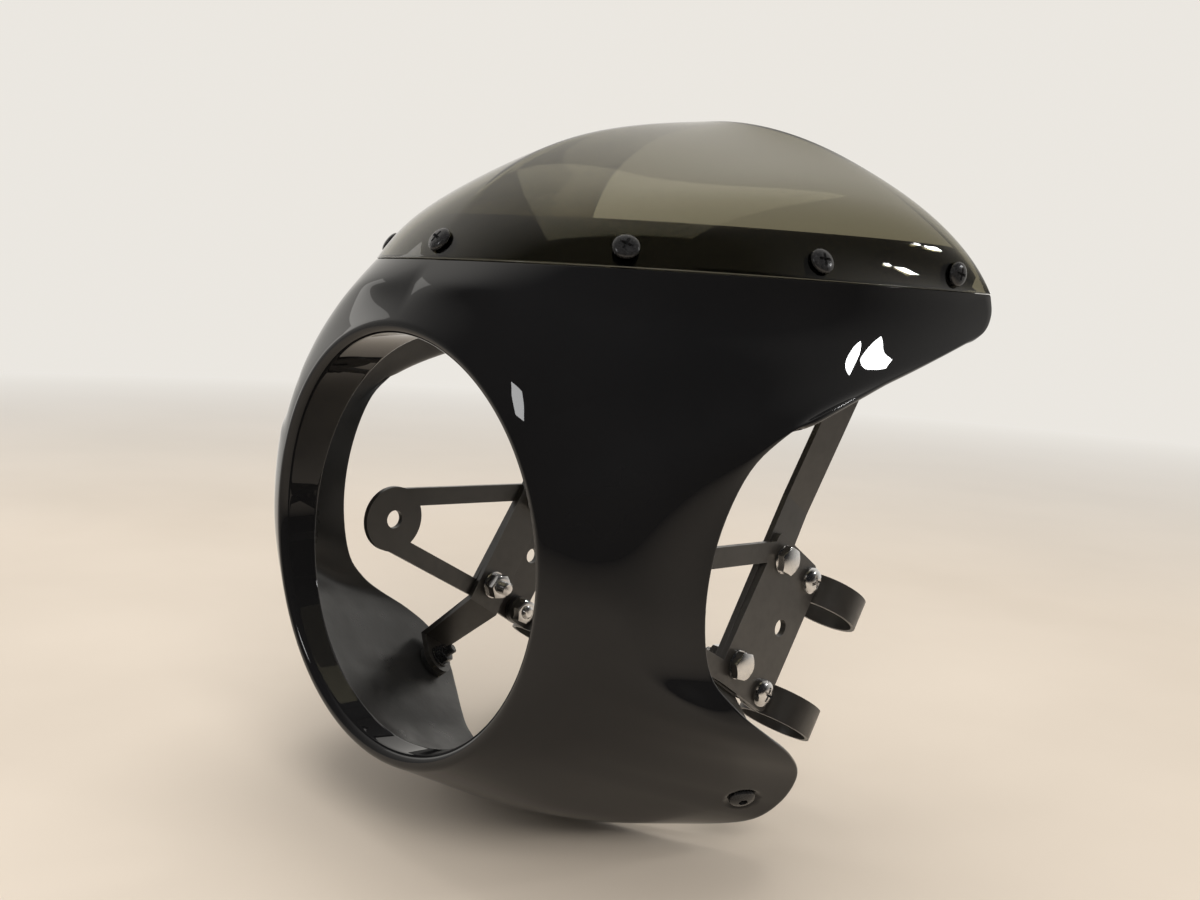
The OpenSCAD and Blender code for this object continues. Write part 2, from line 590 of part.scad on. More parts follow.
// Bolts of the front row: head outboard, washer and nut inboard
hex_across = bolt_d * 1.625;
hex_head_h = bolt_d * 0.66;
bolt_washer_t = 1.6;
bolt_washer_d = bolt_d * 2;
bolt_nut_h = bolt_d * 0.8;
bolt_tail = 6;
module at_front_bolts(side, x) side_of(side) on_plan(x)
    for (q = [0, bolt_span]) translate([0, q, 0]) children();
module hex_bolts(side) color([0.75, 0.75, 0.78]) at_front_bolts(side, plate_x) {
    flange = 1.2;
    cylinder(d = hex_across * 1.12, h = flange, $fn = 48);
    intersection() {
        cylinder(d = hex_across / cos(30), h = hex_head_h, $fn = 6);
        cylinder(d1 = hex_across * 1.6, d2 = hex_across * 0.98, h = hex_head_h + 0.01, $fn = 48);
    }
    tail = 2 * plate_t + bolt_washer_t + bolt_nut_h + bolt_tail;
    translate([0, 0, -tail]) cylinder(d = bolt_d, h = tail + 0.5, $fn = 32);
}
module hex_washers(side) color([0.75, 0.75, 0.78]) at_front_bolts(side, stay_x - bolt_washer_t)
    flat_washer(bolt_washer_d, bolt_d + 0.4, bolt_washer_t);
module hex_nuts(side) color([0.75, 0.75, 0.78]) at_front_bolts(side, stay_x - bolt_washer_t - bolt_nut_h)
    hex_nut(hex_across, bolt_nut_h, bolt_d);

// Bolts of the rear row, through the clamp bands
clamp_x = inner_x - band_t - band_gap / 2;
clamp_inner_x = inner_x - 2 * band_t - band_gap;
button_d = bolt_d * 1.75;
button_h = bolt_d * 0.6;
module at_clamp_bolts(side, x) side_of(side) on_plan(x)
    for (q = [clamp_low, clamp_high]) translate([row_gap, q, 0]) children();
module clamp_bolts(side) color([0.75, 0.75, 0.78]) at_clamp_bolts(side, plate_x) difference() {
    tail = plate_x - clamp_inner_x + bolt_nut_h + 2;
    union() {
        pan_head(button_d, button_h);
        translate([0, 0, -tail]) cylinder(d = bolt_d, h = tail + 0.5, $fn = 32);
    }
    translate([0, 0, button_h]) cross_recess(button_d * 0.5, button_h * 0.45);
}
module clamp_nuts(side) color([0.75, 0.75, 0.78]) at_clamp_bolts(side, clamp_inner_x - bolt_nut_h)
    hex_nut(hex_across, bolt_nut_h, bolt_d);

// Fork clamps: a flat band round the fork leg, its two ends laid together under the bolt
fork_r = fork_d / 2;
fork_p = row_gap + fork_offset;
tab_round = band_w / 2;
module fork_clamp(side, q) color([0.06, 0.06, 0.06]) side_of(side) on_plan(clamp_x) translate([0, q, 0])
    difference() {
        union() {
            translate([fork_p, 0, 0]) rotate([90, 0, 0])
                cylinder(r = fork_r + band_t, h = band_w, center = true, $fn = 96);
            translate([row_gap, 0, 0]) cylinder(r = tab_round, h = 2 * band_t + band_gap, center = true, $fn = 48);
            translate([row_gap, -band_w / 2, -band_t - band_gap / 2])
                cube([fork_offset - fork_r, band_w, 2 * band_t + band_gap]);
        }
        translate([fork_p, 0, 0]) rotate([90, 0, 0]) cylinder(r = fork_r, h = band_w + 2, center = true, $fn = 96);
        translate([row_gap, 0, 0]) cylinder(d = hole_d, h = 10, center = true, $fn = 40);
        translate([row_gap - band_w, -band_w, -band_gap / 2]) cube([band_w + fork_offset - fork_r + 4, 2 * band_w, band_gap]);
    }

// Ear screws: button head in the recess, then pad, stay, washer and nut
ear_head_d = 12.5;
ear_head_h = 3;
ear_washer_t = 1.2;
ear_nut_across = ear_screw_d * 1.67;
ear_nut_h = ear_screw_d * 0.83;
ear_stack = ear_seat + pad_t + plate_t;
module ear_screw(side) color([0.08, 0.08, 0.08]) at_ear(side) difference() {
    union() {
        translate([0, 0, -ear_recess]) pan_head(ear_head_d, ear_head_h);
        translate([0, 0, -ear_stack - ear_washer_t - ear_nut_h - 5])
            cylinder(d = ear_screw_d, h = ear_stack + ear_washer_t + ear_nut_h + 5 - ear_recess + 0.5, $fn = 32);
    }
    translate([0, 0, ear_head_h - ear_recess]) translate([0, 0, -1.6]) cylinder(d = 4.6, h = 3, $fn = 6);
}
module ear_pad(side) color([0.05, 0.05, 0.05]) at_ear(side) translate([0, 0, -ear_seat - pad_t])
    flat_washer(stay_arm_w, ear_screw_d + ear_fit, pad_t);
module ear_washer(side) color([0.08, 0.08, 0.08]) at_ear(side) translate([0, 0, -ear_stack - ear_washer_t])
    flat_washer(ear_screw_d * 2.2, ear_screw_d + 0.4, ear_washer_t);
module ear_nut(side) color([0.08, 0.08, 0.08]) at_ear(side)
    translate([0, 0, -ear_stack - ear_washer_t - ear_nut_h]) hex_nut(ear_nut_across, ear_nut_h, ear_screw_d);

shell();
screen();
screen_screws();
screen_washers();
screen_nuts();
bracket_plate(1);  // bracket_plate_left
bracket_plate(-1);  // bracket_plate_right
stay(1);  // stay_left
stay(-1);  // stay_right
hex_bolts(1);  // hex_bolts_left
hex_bolts(-1);  // hex_bolts_right
hex_washers(1);  // hex_washers_left
hex_washers(-1);  // hex_washers_right
hex_nuts(1);  // hex_nuts_left
hex_nuts(-1);  // hex_nuts_right
clamp_bolts(1);  // clamp_bolts_left
clamp_bolts(-1);  // clamp_bolts_right
clamp_nuts(1);  // clamp_nuts_left
clamp_nuts(-1);  // clamp_nuts_right
fork_clamp(1, clamp_high);  // clamp_upper_left
fork_clamp(-1, clamp_high);  // clamp_upper_right
fork_clamp(1, clamp_low);  // clamp_lower_left
fork_clamp(-1, clamp_low);  // clamp_lower_right
ear_screw(1);  // ear_screw_left
ear_screw(-1);  // ear_screw_right
ear_pad(1);  // ear_pad_left
ear_pad(-1);  // ear_pad_right
ear_washer(1);  // ear_washer_left
ear_washer(-1);  // ear_washer_right
ear_nut(1);  // ear_nut_left
ear_nut(-1);  // ear_nut_right
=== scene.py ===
import math
import bpy
import bmesh
import numpy as np
from mathutils import Matrix, Vector


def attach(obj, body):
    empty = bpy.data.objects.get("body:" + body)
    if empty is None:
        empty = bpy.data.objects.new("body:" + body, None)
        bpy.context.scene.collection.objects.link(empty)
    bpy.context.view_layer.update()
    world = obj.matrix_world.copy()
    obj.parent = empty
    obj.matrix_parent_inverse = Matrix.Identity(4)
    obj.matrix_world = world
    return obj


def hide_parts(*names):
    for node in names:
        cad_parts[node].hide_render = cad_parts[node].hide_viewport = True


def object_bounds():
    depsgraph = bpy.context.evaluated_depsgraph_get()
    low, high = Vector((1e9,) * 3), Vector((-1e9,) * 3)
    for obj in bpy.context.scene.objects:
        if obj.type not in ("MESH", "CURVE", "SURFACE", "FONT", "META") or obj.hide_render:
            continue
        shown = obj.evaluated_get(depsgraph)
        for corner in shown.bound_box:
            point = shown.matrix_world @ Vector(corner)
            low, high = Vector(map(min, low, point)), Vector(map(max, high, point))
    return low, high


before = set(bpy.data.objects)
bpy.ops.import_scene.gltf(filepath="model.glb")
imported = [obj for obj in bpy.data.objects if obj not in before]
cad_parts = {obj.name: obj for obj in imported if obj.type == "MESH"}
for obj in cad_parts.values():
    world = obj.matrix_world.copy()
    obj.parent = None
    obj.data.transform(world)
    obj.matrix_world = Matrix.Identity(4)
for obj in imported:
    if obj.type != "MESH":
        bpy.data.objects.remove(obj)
cad_low, cad_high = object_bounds()
MM = 0.001

# ---------------------------------------------------------------- shell and screen, in millimetres
lamp_bore, lip_round, lip_sweep = 190, 4, 1.8
flange_depth, flange_slant, flange_t = 22, 9, 3
shell_t, seam_h, seam_nose = 3, 128.5, 17.4
wing_half_w, wing_reach = 145.3, 260.3
waist_half_w, waist_reach = 135.5, 61.8
ear_half_w, ear_reach, ear_drop = 146, 136, 106
chin_drop, chin_reach = 142, 94
screen_t, screen_rise, screen_back, screen_gap = 3, 86, 199.4, 0.3
ledge_h, ledge_t = 23, 2.6
bore_r = lamp_bore / 2


def V(*c):
    return np.array(c, float)


def mix(a, b, k):
    return a * (1 - k) + b * k


def cosd(a):
    return math.cos(math.radians(a))


def sind(a):
    return math.sin(math.radians(a))


def smooth(k):
    k = np.clip(k, 0.0, 1.0)
    return k * k * (3 - 2 * k)


def unit(v):
    return v / np.linalg.norm(v)


def bezier(p, k):
    return p[0] * (1 - k) ** 3 + p[1] * 3 * k * (1 - k) ** 2 + p[2] * 3 * k * k * (1 - k) + p[3] * k ** 3


def through(p, k):
    n = len(p) - 1
    i = min(int(math.floor(k)), n - 1)
    f = k - i
    a = 2 * p[0] - p[1] if i == 0 else p[i - 1]
    b, c = p[i], p[i + 1]
    d = 2 * p[n] - p[n - 1] if i + 2 > n else p[i + 2]
    return 0.5 * (2 * b + (c - a) * f + (2 * a - 5 * b + 4 * c - d) * f * f
                  + (3 * b - a - 3 * c + d) * f ** 3)


def around(a):
    return V(cosd(a), 0, sind(a))


def lip_y(a):
    return lip_sweep * cosd(2 * a)


def flange_y(a):
    return flange_depth + flange_slant * sind(a)


seam_front_pull, seam_side_pull, seam_side_slope = 65.8, 209.6, 0.026
seam_plan = [
    V(0, seam_nose, seam_h),
    V(seam_front_pull, seam_nose, seam_h),
    V(wing_half_w - seam_side_slope * seam_side_pull, wing_reach - seam_side_pull, seam_h),
    V(wing_half_w, wing_reach, seam_h),
]


def seam(k):
    return bezier(seam_plan, k)


rear_edge = [
    V(wing_half_w, wing_reach, seam_h),
    V(wing_half_w + 0.7, wing_reach + 1.6, seam_h - 10),
    V(wing_half_w + 1.2, wing_reach - 5, seam_h - 18.5),
    V(wing_half_w + 1.8, wing_reach - 22, seam_h - 23.5),
    V(wing_half_w + 2.2, wing_reach - 52, seam_h - 31.8),
    V(wing_half_w + 2.2, wing_reach - 94, seam_h - 42.5),
    V(mix(waist_half_w, wing_half_w, 1.2), mix(waist_reach, wing_reach, 0.28), 72),
    V(mix(waist_half_w, wing_half_w, 0.8), mix(waist_reach, wing_reach, 0.17), 62),
    V(mix(waist_half_w, wing_half_w, 0.4), mix(waist_reach, wing_reach, 0.083), 47),
    V(waist_half_w + 1, waist_reach + 4.2, 21),
    V(waist_half_w, waist_reach, -8),
    V(waist_half_w + 1, waist_reach + 4.5, -36),
    V(ear_half_w - 4, mix(waist_reach, ear_reach, 0.24), mix(-36, -ear_drop, 0.25)),
    V(ear_half_w, mix(waist_reach, ear_reach, 0.48), mix(-36, -ear_drop, 0.46)),
    V(ear_half_w - 1, mix(waist_reach, ear_reach, 0.75), mix(-36, -ear_drop, 0.67)),
    V(ear_half_w - 6.5, ear_reach - 5, -ear_drop + 9),
    V(ear_half_w - 18, ear_reach, -ear_drop - 8.5),
    V(ear_half_w - 31.5, ear_reach - 4, -ear_drop - 20.8),
    V(ear_half_w - 53, mix(ear_reach, chin_reach, 0.37), mix(-ear_drop, -chin_drop, 0.76)),
    V(ear_half_w - 75, mix(ear_reach, chin_reach, 0.63), mix(-ear_drop, -chin_drop, 0.86)),
    V((ear_half_w - 75) / 2, mix(ear_reach, chin_reach, 0.91), mix(-ear_drop, -chin_drop, 0.97)),
    V(0, chin_reach, -chin_drop),
]
rear_last = len(rear_edge) - 1
rear_rate = 13
stations = [V(*row) for row in (
    (0, 90, 56, 15.4, 0, 46, 12),
    (0.30, 73, 60, 30, 28, 29, 38),
    (0.55, 58, 65, 43, 24, 27, 61),
    (0.80, 45, 71, 55, 14, 25, 84),
    (1.00, 36, 75, 62, 5, 18, 100),
    (1.20, 29, 76, 59, 4, 14, 96),
    (1.38, 23, 74, 52, 5, 12, 78),
    (1.54, 16, 73, 45, 8, 12, 50),
    (1.70, 7, 72, 39, 10, 8, 34),
    (1.85, -5, 72, 37, 10, 0, 31),
    (2.00, -16, 69, 36, 12, -8, 36),
    (2.15, -28, 61, 34, 16, -14, 46),
    (2.31, -42, 50, 30, 20, -18, 54),
    (2.46, -61, 37, 27, 14, -7, 60),
    (1 + rear_last / rear_rate, -90, 26, 24, 0, -20, 38),
)]
station_last = len(stations) - 1


def edge_at(e):
    return seam(e) if e <= 1 else through(rear_edge, min((e - 1) * rear_rate, rear_last))


def skin_curve(k):
    q = through(stations, k)
    a, flare = q[1], q[2]
    lip = (around(a) * (bore_r + lip_round * (1 + cosd(flare)))
           + V(0, lip_y(a) + lip_round * (1 - sind(flare)), 0))
    away = around(a) * sind(flare) + V(0, cosd(flare), 0)
    side = 0 if k <= 0 or k >= station_last else q[4]
    arrive = V(cosd(q[5]) * sind(side), cosd(q[5]) * cosd(side), sind(q[5]))
    edge = edge_at(q[0])
    return np.array([lip, lip + away * q[3], edge - arrive * q[6], edge])


def weights(t):
    t = np.asarray(t, float)
    return np.stack([(1 - t) ** 3, 3 * t * (1 - t) ** 2, 3 * t * t * (1 - t), t ** 3], -1)


def fan_normals(before, here, after, t, dt=0.01):
    """Outward normals of a fan of curves, from its neighbours' control points."""
    t = np.asarray(t, float)
    n = np.cross((weights(t) @ after) - (weights(t) @ before),
                 (weights(np.minimum(t + dt, 1)) @ here) - (weights(np.maximum(t - dt, 0)) @ here))
    return n / np.linalg.norm(n, axis=-1, keepdims=True)


# Over the wing the fan is faired: a thin plate that keeps to the lip, the edge and, loosely, to the fan
fair_k, fair_t = np.linspace(2.6, 8.4, 59), np.linspace(0.10, 1, 19)
fair_stretch, fair_hold = 4.3, 1000.0


def faired_nodes():
    n_k, n_t = len(fair_k), len(fair_t)
    step_k, step_t = fair_k[1] - fair_k[0], fair_t[1] - fair_t[0]
    nodes = np.array([weights(fair_t) @ skin_curve(k) for k in fair_k])
    free = np.zeros((n_k, n_t), bool)
    free[2:-2, 2:-1] = True
    index = np.where(free, np.cumsum(free).reshape(free.shape) - 1, -1)
    total = int(free.sum())
    a, b = np.eye(total) * fair_hold, nodes[free] * fair_hold

    def bend(places, factors, weight):
        """Adds the square of one weighted difference of nodes to the plate's energy."""
        factors = np.array(factors)
        at = np.array([index[p] for p in places])
        fixed = sum((f * nodes[p] for p, f, i in zip(places, factors, at) if i < 0), np.zeros(3))
        on, f = at[at >= 0], factors[at >= 0]
        a[np.ix_(on, on)] += weight * np.outer(f, f)
        b[on] -= weight * np.outer(f, fixed)

    cross_f = 1 / (4 * step_k * step_t)
    for i in range(n_k):
        for j in range(n_t):
            if 0 < i < n_k - 1:
                bend([(i - 1, j), (i, j), (i + 1, j)],
                     [1 / step_k ** 2, -2 / step_k ** 2, 1 / step_k ** 2], fair_stretch ** 4)
            if 0 < j < n_t - 1:
                bend([(i, j - 1), (i, j), (i, j + 1)],
                     [1 / step_t ** 2, -2 / step_t ** 2, 1 / step_t ** 2], 1)
            if 0 < i < n_k - 1 and 0 < j < n_t - 1:
                bend([(i + 1, j + 1), (i + 1, j - 1), (i - 1, j + 1), (i - 1, j - 1)],
                     [cross_f, -cross_f, -cross_f, cross_f], 2 * fair_stretch ** 2)
    nodes[free] = np.linalg.solve(a, b)
    return nodes


faired = faired_nodes()


def skin(k, t):
    """Points of the shell's outer face."""
    t = np.asarray(t, float)
    curve = skin_curve(k)
    points = weights(t) @ curve
    if not fair_k[0] < k < fair_k[-1]:
        return points
    row = through(faired, (k - fair_k[0]) / (fair_k[1] - fair_k[0]))
    plate = np.array([through(row, max(f, 0)) for f in (t - fair_t[0]) / (fair_t[1] - fair_t[0])])
    plate += smooth((t[:, None] - 0.88) / 0.12) * (curve[3] - row[-1])
    return np.where(t[:, None] > fair_t[0], plate, points)


def skin_normals(k, t, dk=0.02, dt=0.008):
    t = np.asarray(t, float)
    n = np.cross(skin(min(k + dk, station_last), t) - skin(max(k - dk, 0), t),
                 skin(k, np.minimum(t + dt, 1)) - skin(k, np.maximum(t - dt, 0)))
    if k <= 0 or k >= station_last:
        n[:, 0] = 0
    return n / np.linalg.norm(n, axis=-1, keepdims=True)


def trail(k):
    a = 90 * (1 - k) ** 0.62 + 2.5 * k
    h = sind(a) ** 1.42
    return V(wing_half_w * cosd(a), mix(wing_reach, screen_back, h), seam_h + screen_rise * h)


def screen_curve(k):
    foot, top = seam(k) + V(0, 0, screen_gap), trail(k)
    far = np.linalg.norm(top - foot)
    lean, swing = 59, 90 * (1 - k) ** 1.1
    rise = V(0 if k <= 0 else -cosd(lean) * cosd(swing), cosd(lean) * sind(swing), sind(lean))
    over = unit(V(-0.9 * top[0], 88 * (1 - k) - 36, 8 + 51 * k))
    return np.array([foot, foot + rise * far * 0.333, top - over * far * 0.451, top])


def screen_normals(k, t):
    m = min(k, 0.96)
    n = fan_normals(screen_curve(max(m - 0.004, 0)), screen_curve(m), screen_curve(m + 0.004), t)
    if k <= 0:
        n[:, 0] = 0
        n /= np.linalg.norm(n, axis=-1, keepdims=True)
    return n


def screen_at(k, h):
    c, lo, hi = screen_curve(k), 0.0, 1.0
    for _ in range(16):
        m = (lo + hi) / 2
        if (weights(m) @ c)[2] < seam_h + h:
            lo = m
        else:
            hi = m
    return (lo + hi) / 2


def under_screen(s, t, d, low):
    """Points a depth d under the screen's outer face, and no lower than a plane near the seam."""
    t = np.asarray(t, float)
    n, p = screen_normals(s, t), weights(t) @ screen_curve(s)
    flat = n * V(1, 1, 0)
    foot = np.column_stack([p[:, 0], p[:, 1], np.full(len(p), float(low))])
    foot -= flat * d / (flat * flat).sum(-1, keepdims=True)
    q = p - n * d
    q[:, 2] = np.maximum(q[:, 2], low)
    return np.where(t[:, None] > 0, q, foot)


ledge_end, ledge_gap = 0.95, screen_gap + 0.35
joggle = screen_t + ledge_gap + ledge_t - shell_t


def ledge_top(k):
    return min(screen_at(k, ledge_h), 0.94) * mix(1, 0.1, smooth((k - ledge_end) / (1 - ledge_end) * 1.5))


def wall(k, t):
    return shell_t + joggle * smooth((np.asarray(t, float) - 0.8) / 0.2) * (1 - smooth(k - 4))


def corner(a, p, b, r, n):
    """n points that round the corner at p between the directions of a and b."""
    a, b = (p + unit(q - p) * min(r, np.linalg.norm(q - p) * 0.45) for q in (a, b))
    k = np.linspace(0, 1, n)[:, None]
    return a * (1 - k) ** 2 + p * 2 * k * (1 - k) + b * k * k


# ---------------------------------------------------------------- mesh helpers
def new_object(name, points, faces, smooth_shading=True, slots=None, scale=MM):
    me = bpy.data.meshes.new(name)
    me.from_pydata((np.asarray(points, float) * scale).tolist(), [], [list(map(int, f)) for f in faces])
    me.validate()
    me.update()
    if slots is not None and len(me.polygons) == len(slots):
        me.polygons.foreach_set("material_index", list(map(int, slots)))
    if smooth_shading:
        me.polygons.foreach_set("use_smooth", [True] * len(me.polygons))
    ob = bpy.data.objects.new(name, me)
    bpy.context.scene.collection.objects.link(ob)
    return ob


def outward(ob):
    bm = bmesh.new()
    bm.from_mesh(ob.data)
    bmesh.ops.recalc_face_normals(bm, faces=bm.faces)
    bm.to_mesh(ob.data)
    bm.free()
    ob.data.update()


def sharpen(ob, angle=35):
    me = ob.data
    bm = bmesh.new()
    bm.from_mesh(me)
    limit = math.radians(angle)
    for e in bm.edges:
        e.smooth = not (len(e.link_faces) == 2 and e.calc_face_angle(0) > limit)
    for f in bm.faces:
        f.smooth = True
    bm.to_mesh(me)
    bm.free()


def apply_modifiers(ob):
    dg = bpy.context.evaluated_depsgraph_get()
    dg.update()
    me = bpy.data.meshes.new_from_object(ob.evaluated_get(dg))
    old = ob.data
    ob.modifiers.clear()
    ob.data = me
    bpy.data.meshes.remove(old)


def boolean(ob, cutter):
    m = ob.modifiers.new("cut", "BOOLEAN")
    m.operation, m.solver, m.object = "DIFFERENCE", "EXACT", cutter
    apply_modifiers(ob)
    bpy.data.objects.remove(cutter)


# ---------------------------------------------------------------- shell
ear_place, ear_part = 11.57, 0.87
ear_p = skin(ear_place, [ear_part])[0]
ear_n = skin_normals(ear_place, [ear_part])[0]
LIP, CORNER, LEDGE, TOP, FLANGE = 16, 6, 10, 5, 5
skin_t = np.concatenate([[0], np.linspace(0.02, 0.78, 22), np.linspace(0.795, 0.95, 15), [0.965, 0.98, 0.99]])
inner_t = np.concatenate([[0.985, 0.95, 0.9], np.linspace(0.85, 0.12, 15)])
EDGE = CORNER + 2 * LEDGE + TOP


def shell_column(k):
    q = through(stations, k)
    a, flare, y = q[1], q[2], lip_y(q[1])
    inside, out = around(a) * bore_r, around(a) * (bore_r + flange_t)
    rows = []
    back = V(0, flange_y(a), 0)
    rows.append(corner(out + back, inside + back, inside + V(0, y + lip_round, 0), 0.7, 4))
    rows.append([inside + V(0, f, 0) for f in np.linspace(flange_y(a) - 1.5, y + lip_round + 0.6, FLANGE)])
    rows.append([around(a) * (bore_r + lip_round * (1 + cosd(f))) + V(0, y + lip_round * (1 - sind(f)), 0)
                 for f in np.linspace(180, flare, LIP, endpoint=False)])
    rows.append(skin(k, skin_t))
    before, edge = skin(k, [0.985, 1.0])
    n1 = skin_normals(k, [1.0])[0]
    if k <= 4:
        s = q[0]
        top = ledge_top(s)
        stops = np.linspace(0, 1, LEDGE)
        d = screen_t + ledge_gap
        outer = under_screen(s, top * stops, d, seam_h)
        inner = under_screen(s, top * stops[::-1], d + ledge_t, seam_h)
        rows.append(corner(before, edge, outer[0], 0.7, CORNER))
        rows.append(outer)
        mid, up = (outer[-1] + inner[0]) / 2, unit(outer[-1] - outer[-2])
        half = np.linalg.norm(outer[-1] - inner[0]) / 2
        side = (outer[-1] - mid)
        rows.append([mid + side * cosd(f) + up * half * 0.55 * sind(f)
                     for f in np.linspace(0, 180, TOP + 2)[1:-1]])
        rows.append(inner)
    else:
        h = wall(k, 1.0) / 2
        run = skin(min(k + 0.02, station_last), [1.0])[0] - skin(max(k - 0.02, 4), [1.0])[0]
        over = unit(np.cross(run, n1))
        over *= np.sign(over @ (edge - before))
        rows.append([edge - n1 * h + (n1 * cosd(f) + over * 0.6 * sind(f)) * h
                     for f in 180 * np.arange(1, EDGE + 1) / (EDGE + 1)])
    rows.append(skin(k, inner_t) - skin_normals(k, inner_t) * wall(k, inner_t)[:, None])
    rows.append([out + V(0, y + lip_round + 5, 0)])
    rows.append(corner(out + V(0, y + lip_round + 5, 0), out + back, inside + back, 0.7, 4))
    return np.concatenate([np.atleast_2d(np.array(r, float)) for r in rows])


def spaced(spans):
    out = []
    for a, b, n in spans:
        out += list(np.linspace(a, b, n, endpoint=False))
    return out + [spans[-1][1]]


shell_k = spaced([(0, 4, 60), (4, 6.6, 60), (6.6, 11.2, 50), (11.2, 11.95, 34), (11.95, station_last, 24)])
half = [shell_column(k) for k in shell_k]
flip = V(-1, 1, 1)
grid = np.array(half + [c * flip for c in half[-2:0:-1]])
n_cols, n_rows = grid.shape[:2]


def dimple(points):
    """Sinks the round recess of each lower ear, in which the ear's screw sits."""
    out = points.copy()
    for side in (1, -1):
        m = V(side, 1, 1)
        d = points - ear_p * m
        up = d @ (ear_n * m)
        r = np.linalg.norm(d - up[:, None] * (ear_n * m), axis=1)
        near = (np.abs(up) < 2.2) & (r < 12)
        out[near] -= (ear_n * m) * (1.05 * smooth((8.3 - r[near]) / 1.3))[:, None]
    return out


outer_rows = slice(4 + FLANGE + LIP, 4 + FLANGE + LIP + len(skin_t))
grid[:, outer_rows] = dimple(grid[:, outer_rows].reshape(-1, 3)).reshape(n_cols, -1, 3)
faces, slots = [], []
inner_from = 4 + FLANGE + LIP + len(skin_t) + CORNER + LEDGE + TOP
for i in range(n_cols):
    i2 = (i + 1) % n_cols
    for j in range(n_rows):
        j2 = (j + 1) % n_rows
        faces.append((i * n_rows + j, i * n_rows + j2, i2 * n_rows + j2, i2 * n_rows + j))
        slots.append(1 if j >= inner_from else 0)
shell = new_object("shell_moulding", grid.reshape(-1, 3), faces, slots=slots)
outward(shell)

# ---------------------------------------------------------------- screen
screen_s = [k ** 0.9 for k in np.linspace(0, 1, 120)]
stops = np.concatenate([[0.012], np.linspace(0.03, 0.97, 44), [0.988]])


def screen_column(s):
    c = screen_curve(s)
    foot_in = under_screen(s, [0.0], screen_t, seam_h + screen_gap)[0]
    top_in = under_screen(s, [1.0], screen_t, seam_h + screen_gap)[0]
    outer = weights(stops) @ c
    inner = under_screen(s, stops[::-1], screen_t, seam_h + screen_gap)
    return np.concatenate([
        corner(foot_in, c[0], outer[0], 0.7, 5), outer,
        corner(outer[-1], c[3], top_in, 1.0, 6), corner(c[3], top_in, inner[0], 1.0, 6),
        inner, corner(inner[-1], foot_in, c[0], 0.5, 4)])


half = [screen_column(s) for s in screen_s]
grid = np.array([c * flip for c in half[:0:-1]] + half)
n_cols, n_rows = grid.shape[:2]
faces, slots = [], []
edge_to = 5 + len(stops)
for i in range(n_cols - 1):
    for j in range(n_rows):
        j2 = (j + 1) % n_rows
        faces.append((i * n_rows + j, i * n_rows + j2, (i + 1) * n_rows + j2, (i + 1) * n_rows + j))
        at_foot = j < 4 or j >= n_rows - 5
        at_top = edge_to <= j < edge_to + 11
        slots.append(1 if at_foot or at_top else 0)
faces.append(list(range(n_rows)))
faces.append([(n_cols - 1) * n_rows + j for j in range(n_rows)][::-1])
slots += [1, 1]
screen = new_object("screen_bubble", grid.reshape(-1, 3), faces, slots=slots)
outward(screen)


# ---------------------------------------------------------------- fasteners
def revolve(profile, n=48, wobble=None):
    """A closed solid turned about Z. wobble(angle, r, z) may change the radius."""
    profile = [(max(r, 0.0), z) for r, z in profile]
    pts, faces = [], []
    for i in range(n):
        a = 2 * math.pi * i / n
        for r, z in profile:
            w = wobble(a, r, z) if wobble else r
            pts.append((w * math.cos(a), w * math.sin(a), z))
    m = len(profile)
    for i in range(n):
        i2 = (i + 1) % n
        for j in range(m - 1):
            faces.append((i * m + j, i2 * m + j, i2 * m + j + 1, i * m + j + 1))
    faces.append([i * m for i in range(n)][::-1])
    faces.append([i * m + m - 1 for i in range(n)])
    return np.array(pts), faces


def shank(d, z0, z1, thread_to, pitch, n=36):
    """A screw's shank from z0 up to z1, threaded up to thread_to, with a chamfered end."""
    zs = [z0, z0 + 0.5 * pitch]
    step = pitch / 6
    z = zs[-1] + step
    while z < thread_to:
        zs.append(z)
        z += step
    zs += [thread_to + 0.2, z1]

    def wobble(a, r, z):
        if z <= z0 + 1e-6:
            return r - 0.16 * d
        if z > thread_to:
            return r
        f = (z / pitch - a / (2 * math.pi)) % 1.0
        cut = abs(f - 0.5) * 2
        fade = min(1.0, (thread_to - z) / (pitch * 1.5))
        return r - 0.54 * pitch * smooth(cut * 1.15) * fade
    return revolve([(d / 2, z) for z in zs], n, wobble)


def dome_profile(d, h, skirt=0.22, n=12):
    """Pan or button head: a short skirt, then a dome."""
    pts = [(0.5 * d - 0.15, 0.0), (0.5 * d, 0.15), (0.5 * d, h * skirt)]
    for i in range(1, n + 1):
        a = 90 * i / n
        pts.append((0.5 * d * cosd(a) ** 0.8 if a < 90 else 0.0,
                    h * skirt + h * (1 - skirt) * sind(a) ** 0.9))
    return pts


